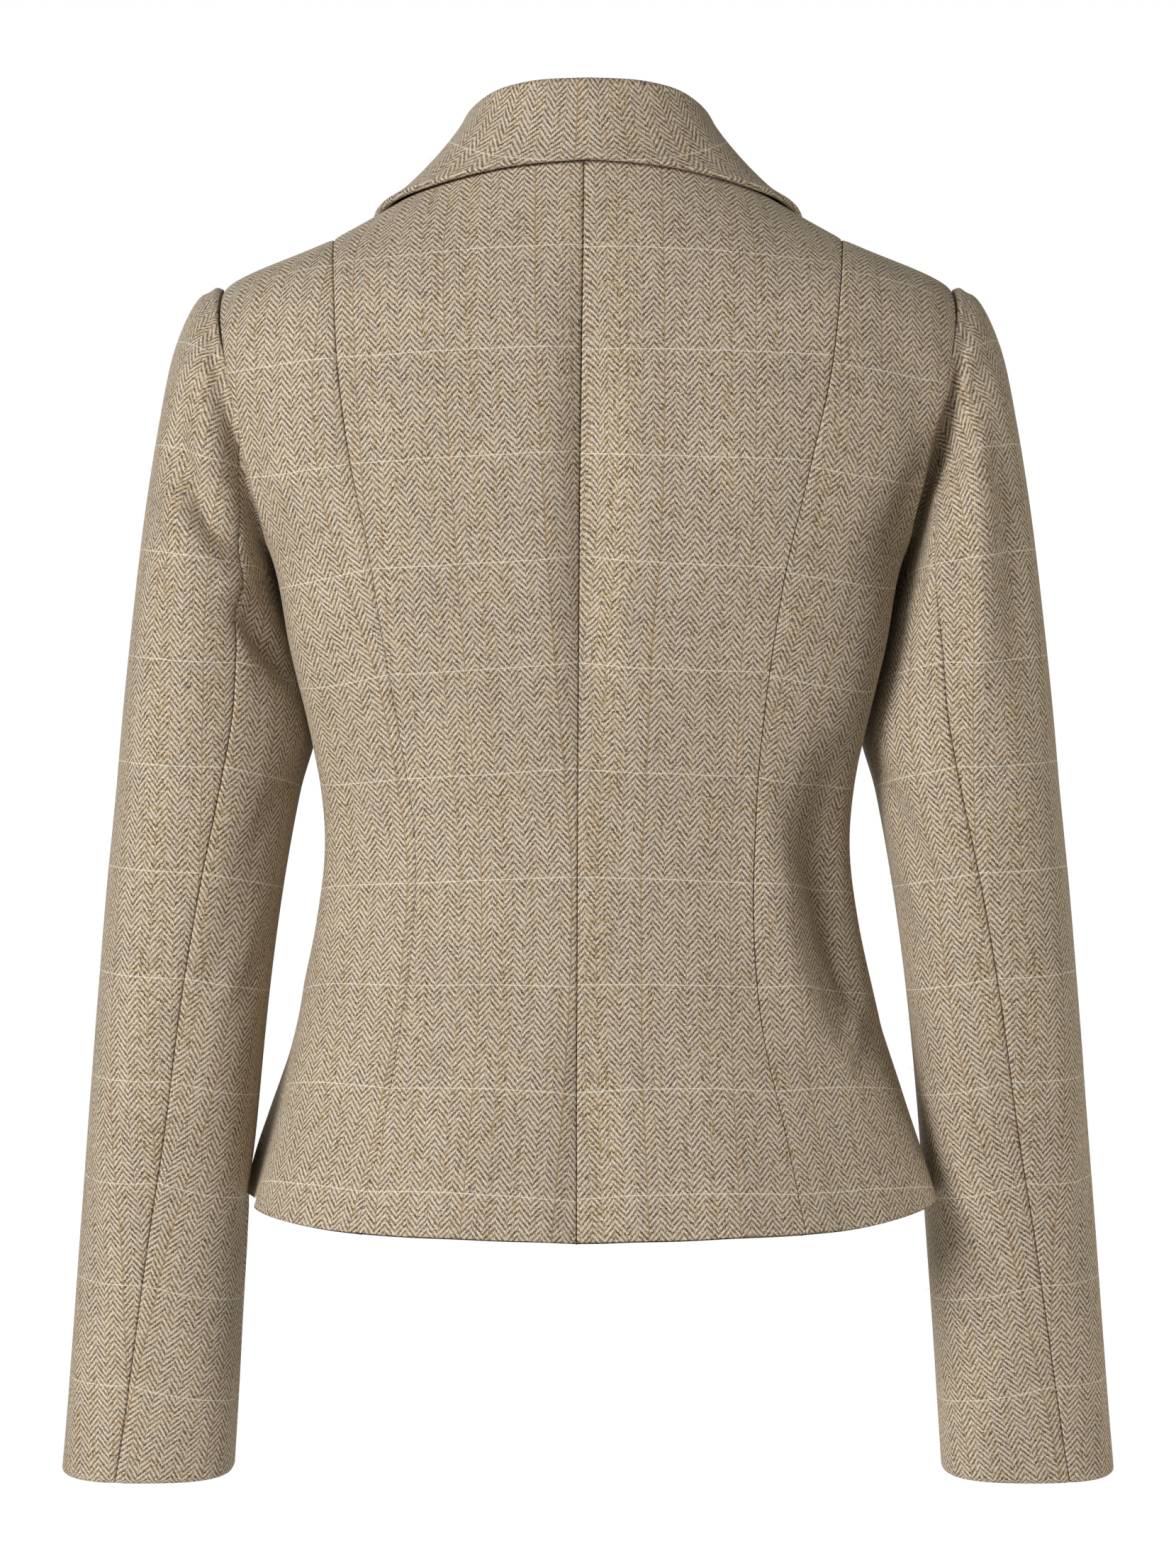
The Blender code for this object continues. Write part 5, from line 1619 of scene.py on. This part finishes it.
def makeNap():
    parts = [(grid.reshape(-1, 3), gridQuads(*grid.shape[:2])[1].tolist()) for grid in napGrids]
    host = placed("nap_ground", meshOf("nap_ground", *gatheredMesh(parts)))

    sizes = {size: nap[size] for size in ("Density", "Shortest", "Longest", "Lean", "Seed")}
    tree, given = growTree("nap_fibres", sizes)
    start = Wire(tree)

    def anyBetween(low, high, more):
        values = {2: low, 3: high, **more}
        return start.node("FunctionNodeRandomValue", {"data_type": "FLOAT"}, values, 1)

    spread = start.node("GeometryNodeDistributePointsOnFaces", None,
                        {"Mesh": given["Geometry"], "Density": given["Density"],
                         "Seed": given["Seed"]})
    rotation = Wire(tree, spread.socket.node.outputs["Rotation"])
    index = start.node("GeometryNodeInputIndex")
    lean = anyBetween(nap["leastLean"], given["Lean"], {"ID": index, "Seed": 3})
    spin = anyBetween(0.0, 2.0 * math.pi, {"Seed": 5})
    euler = start.node("ShaderNodeCombineXYZ", None, {0: lean, 2: spin})
    tilt = start.node("FunctionNodeEulerToRotation", None, {0: euler})
    turned = start.node("FunctionNodeRotateRotation", {"rotation_space": "LOCAL"},
                        {0: rotation, 1: tilt})
    length = anyBetween(given["Shortest"], given["Longest"], {"Seed": 8})
    line = start.node("GeometryNodeCurvePrimitiveBezierSegment", None, nap["bend"])
    ring = start.node("GeometryNodeCurvePrimitiveCircle", None,
                      {"Resolution": 3, "Radius": nap["thickness"]})
    fibre = start.node("GeometryNodeCurveToMesh", None,
                       {"Curve": line, "Profile Curve": ring, "Fill Caps": True})
    fibres = start.node("GeometryNodeInstanceOnPoints", None,
                        {"Points": spread, "Instance": fibre, "Rotation": turned, "Scale": length})
    wool = threadMaterial("nap", nap["fibre"], nap["lightest"])
    piece = grown("nap", host, tree, fibres, sizes, wool)
    print("nap fibres' faces:", len(piece.data.polygons))


makeNap()

# Floor, light and camera

studio = {
    "photoHigh": 2212,
    "perPixel": 0.000365,  # metres of the object for each pixel of the photograph
    "distance": 3.2,
    "cameraZ": -0.3307,
    "sensor": 24.0,
    "floorZ": -0.95,
    "floorRadius": 1.55,
    "floorSides": 96,
    "floorTones": (tone(238, 237, 234), tone(244, 243, 240)),
    "floorClouds": (3.0, 4.0),  # scale and detail
    "floorRoughness": 0.8,
    "ambient": 0.05,
    "aim": (0.0, 0.0, -0.30),  # of every light
}

lights = {  # place, size, watts, colour
    "key": ((-2.0, -2.80, 0.60), 1.4, 111.0, (1.0, 1.0, 1.0)),
    "side": ((3.47, 0.30, -0.60), 1.4, 54.0, (1.0, 0.97, 0.90)),
    "top": ((-0.82, -3.06, 1.18), 1.4, 12.0, (1.0, 1.0, 1.0)),
    "front": ((-1.2, 3.0, 0.9), 1.8, 50.0, (1.0, 1.0, 1.0)),
}


def makeFloor():
    paint, shader, start = shaderStart("pale_floor")
    colour = start.objectNoise(*studio["floorClouds"]).mix(*studio["floorTones"])
    start.feed(shader, {"Base Color": colour, "Roughness": studio["floorRoughness"]})
    sides = studio["floorSides"]
    turns = np.linspace(0.0, 2.0 * math.pi, sides + 1)[:-1]
    ring = np.stack([np.cos(turns), np.sin(turns), 0.0 * turns], axis=-1) * studio["floorRadius"]
    mesh = meshOf("floor", ring + (0.0, 0.0, studio["floorZ"]), [list(range(sides))])
    mesh.materials.append(paint)
    floor = placed("floor", mesh)


def addLight(name, place, size, watts, colour):
    lamp = bpy.data.lights.new(name, "AREA")
    lamp.shape, lamp.size, lamp.energy, lamp.color = "DISK", size, watts, colour
    item = placed(name, lamp)
    way = np.array(studio["aim"]) - np.array(place)
    tilt = math.acos(-way[2] / np.linalg.norm(way))
    item.location = place
    item.rotation_euler = (tilt, 0.0, math.atan2(way[1], way[0]) - math.pi / 2.0)


def makeLights():
    world = bpy.data.worlds.new("studio")
    bpy.context.scene.world = world
    world.use_nodes = True
    start = Wire(world.node_tree)
    seen = start.node("ShaderNodeLightPath", None, None, "Is Camera Ray")
    strength = seen * (1.0 - studio["ambient"]) + studio["ambient"]
    white = (1.0, 1.0, 1.0, 1.0)
    start.feed(start.tree.nodes["Background"], {"Color": white, "Strength": strength})
    for name, values in lights.items():
        addLight(name, *values)
    bpy.context.scene.view_settings.view_transform = "Standard"


def makeCamera():
    lens = bpy.data.cameras.new("camera")
    lens.sensor_fit = "VERTICAL"
    lens.sensor_height = studio["sensor"]
    lens.lens = studio["sensor"] * studio["distance"] / (studio["photoHigh"] * studio["perPixel"])
    camera = placed("camera", lens)
    camera.location = (0.0, -studio["distance"], studio["cameraZ"])
    camera.rotation_euler = (math.pi / 2.0, 0.0, 0.0)
    bpy.context.scene.camera = camera


makeFloor()
makeLights()
makeCamera()
print("floor, lights and camera made")
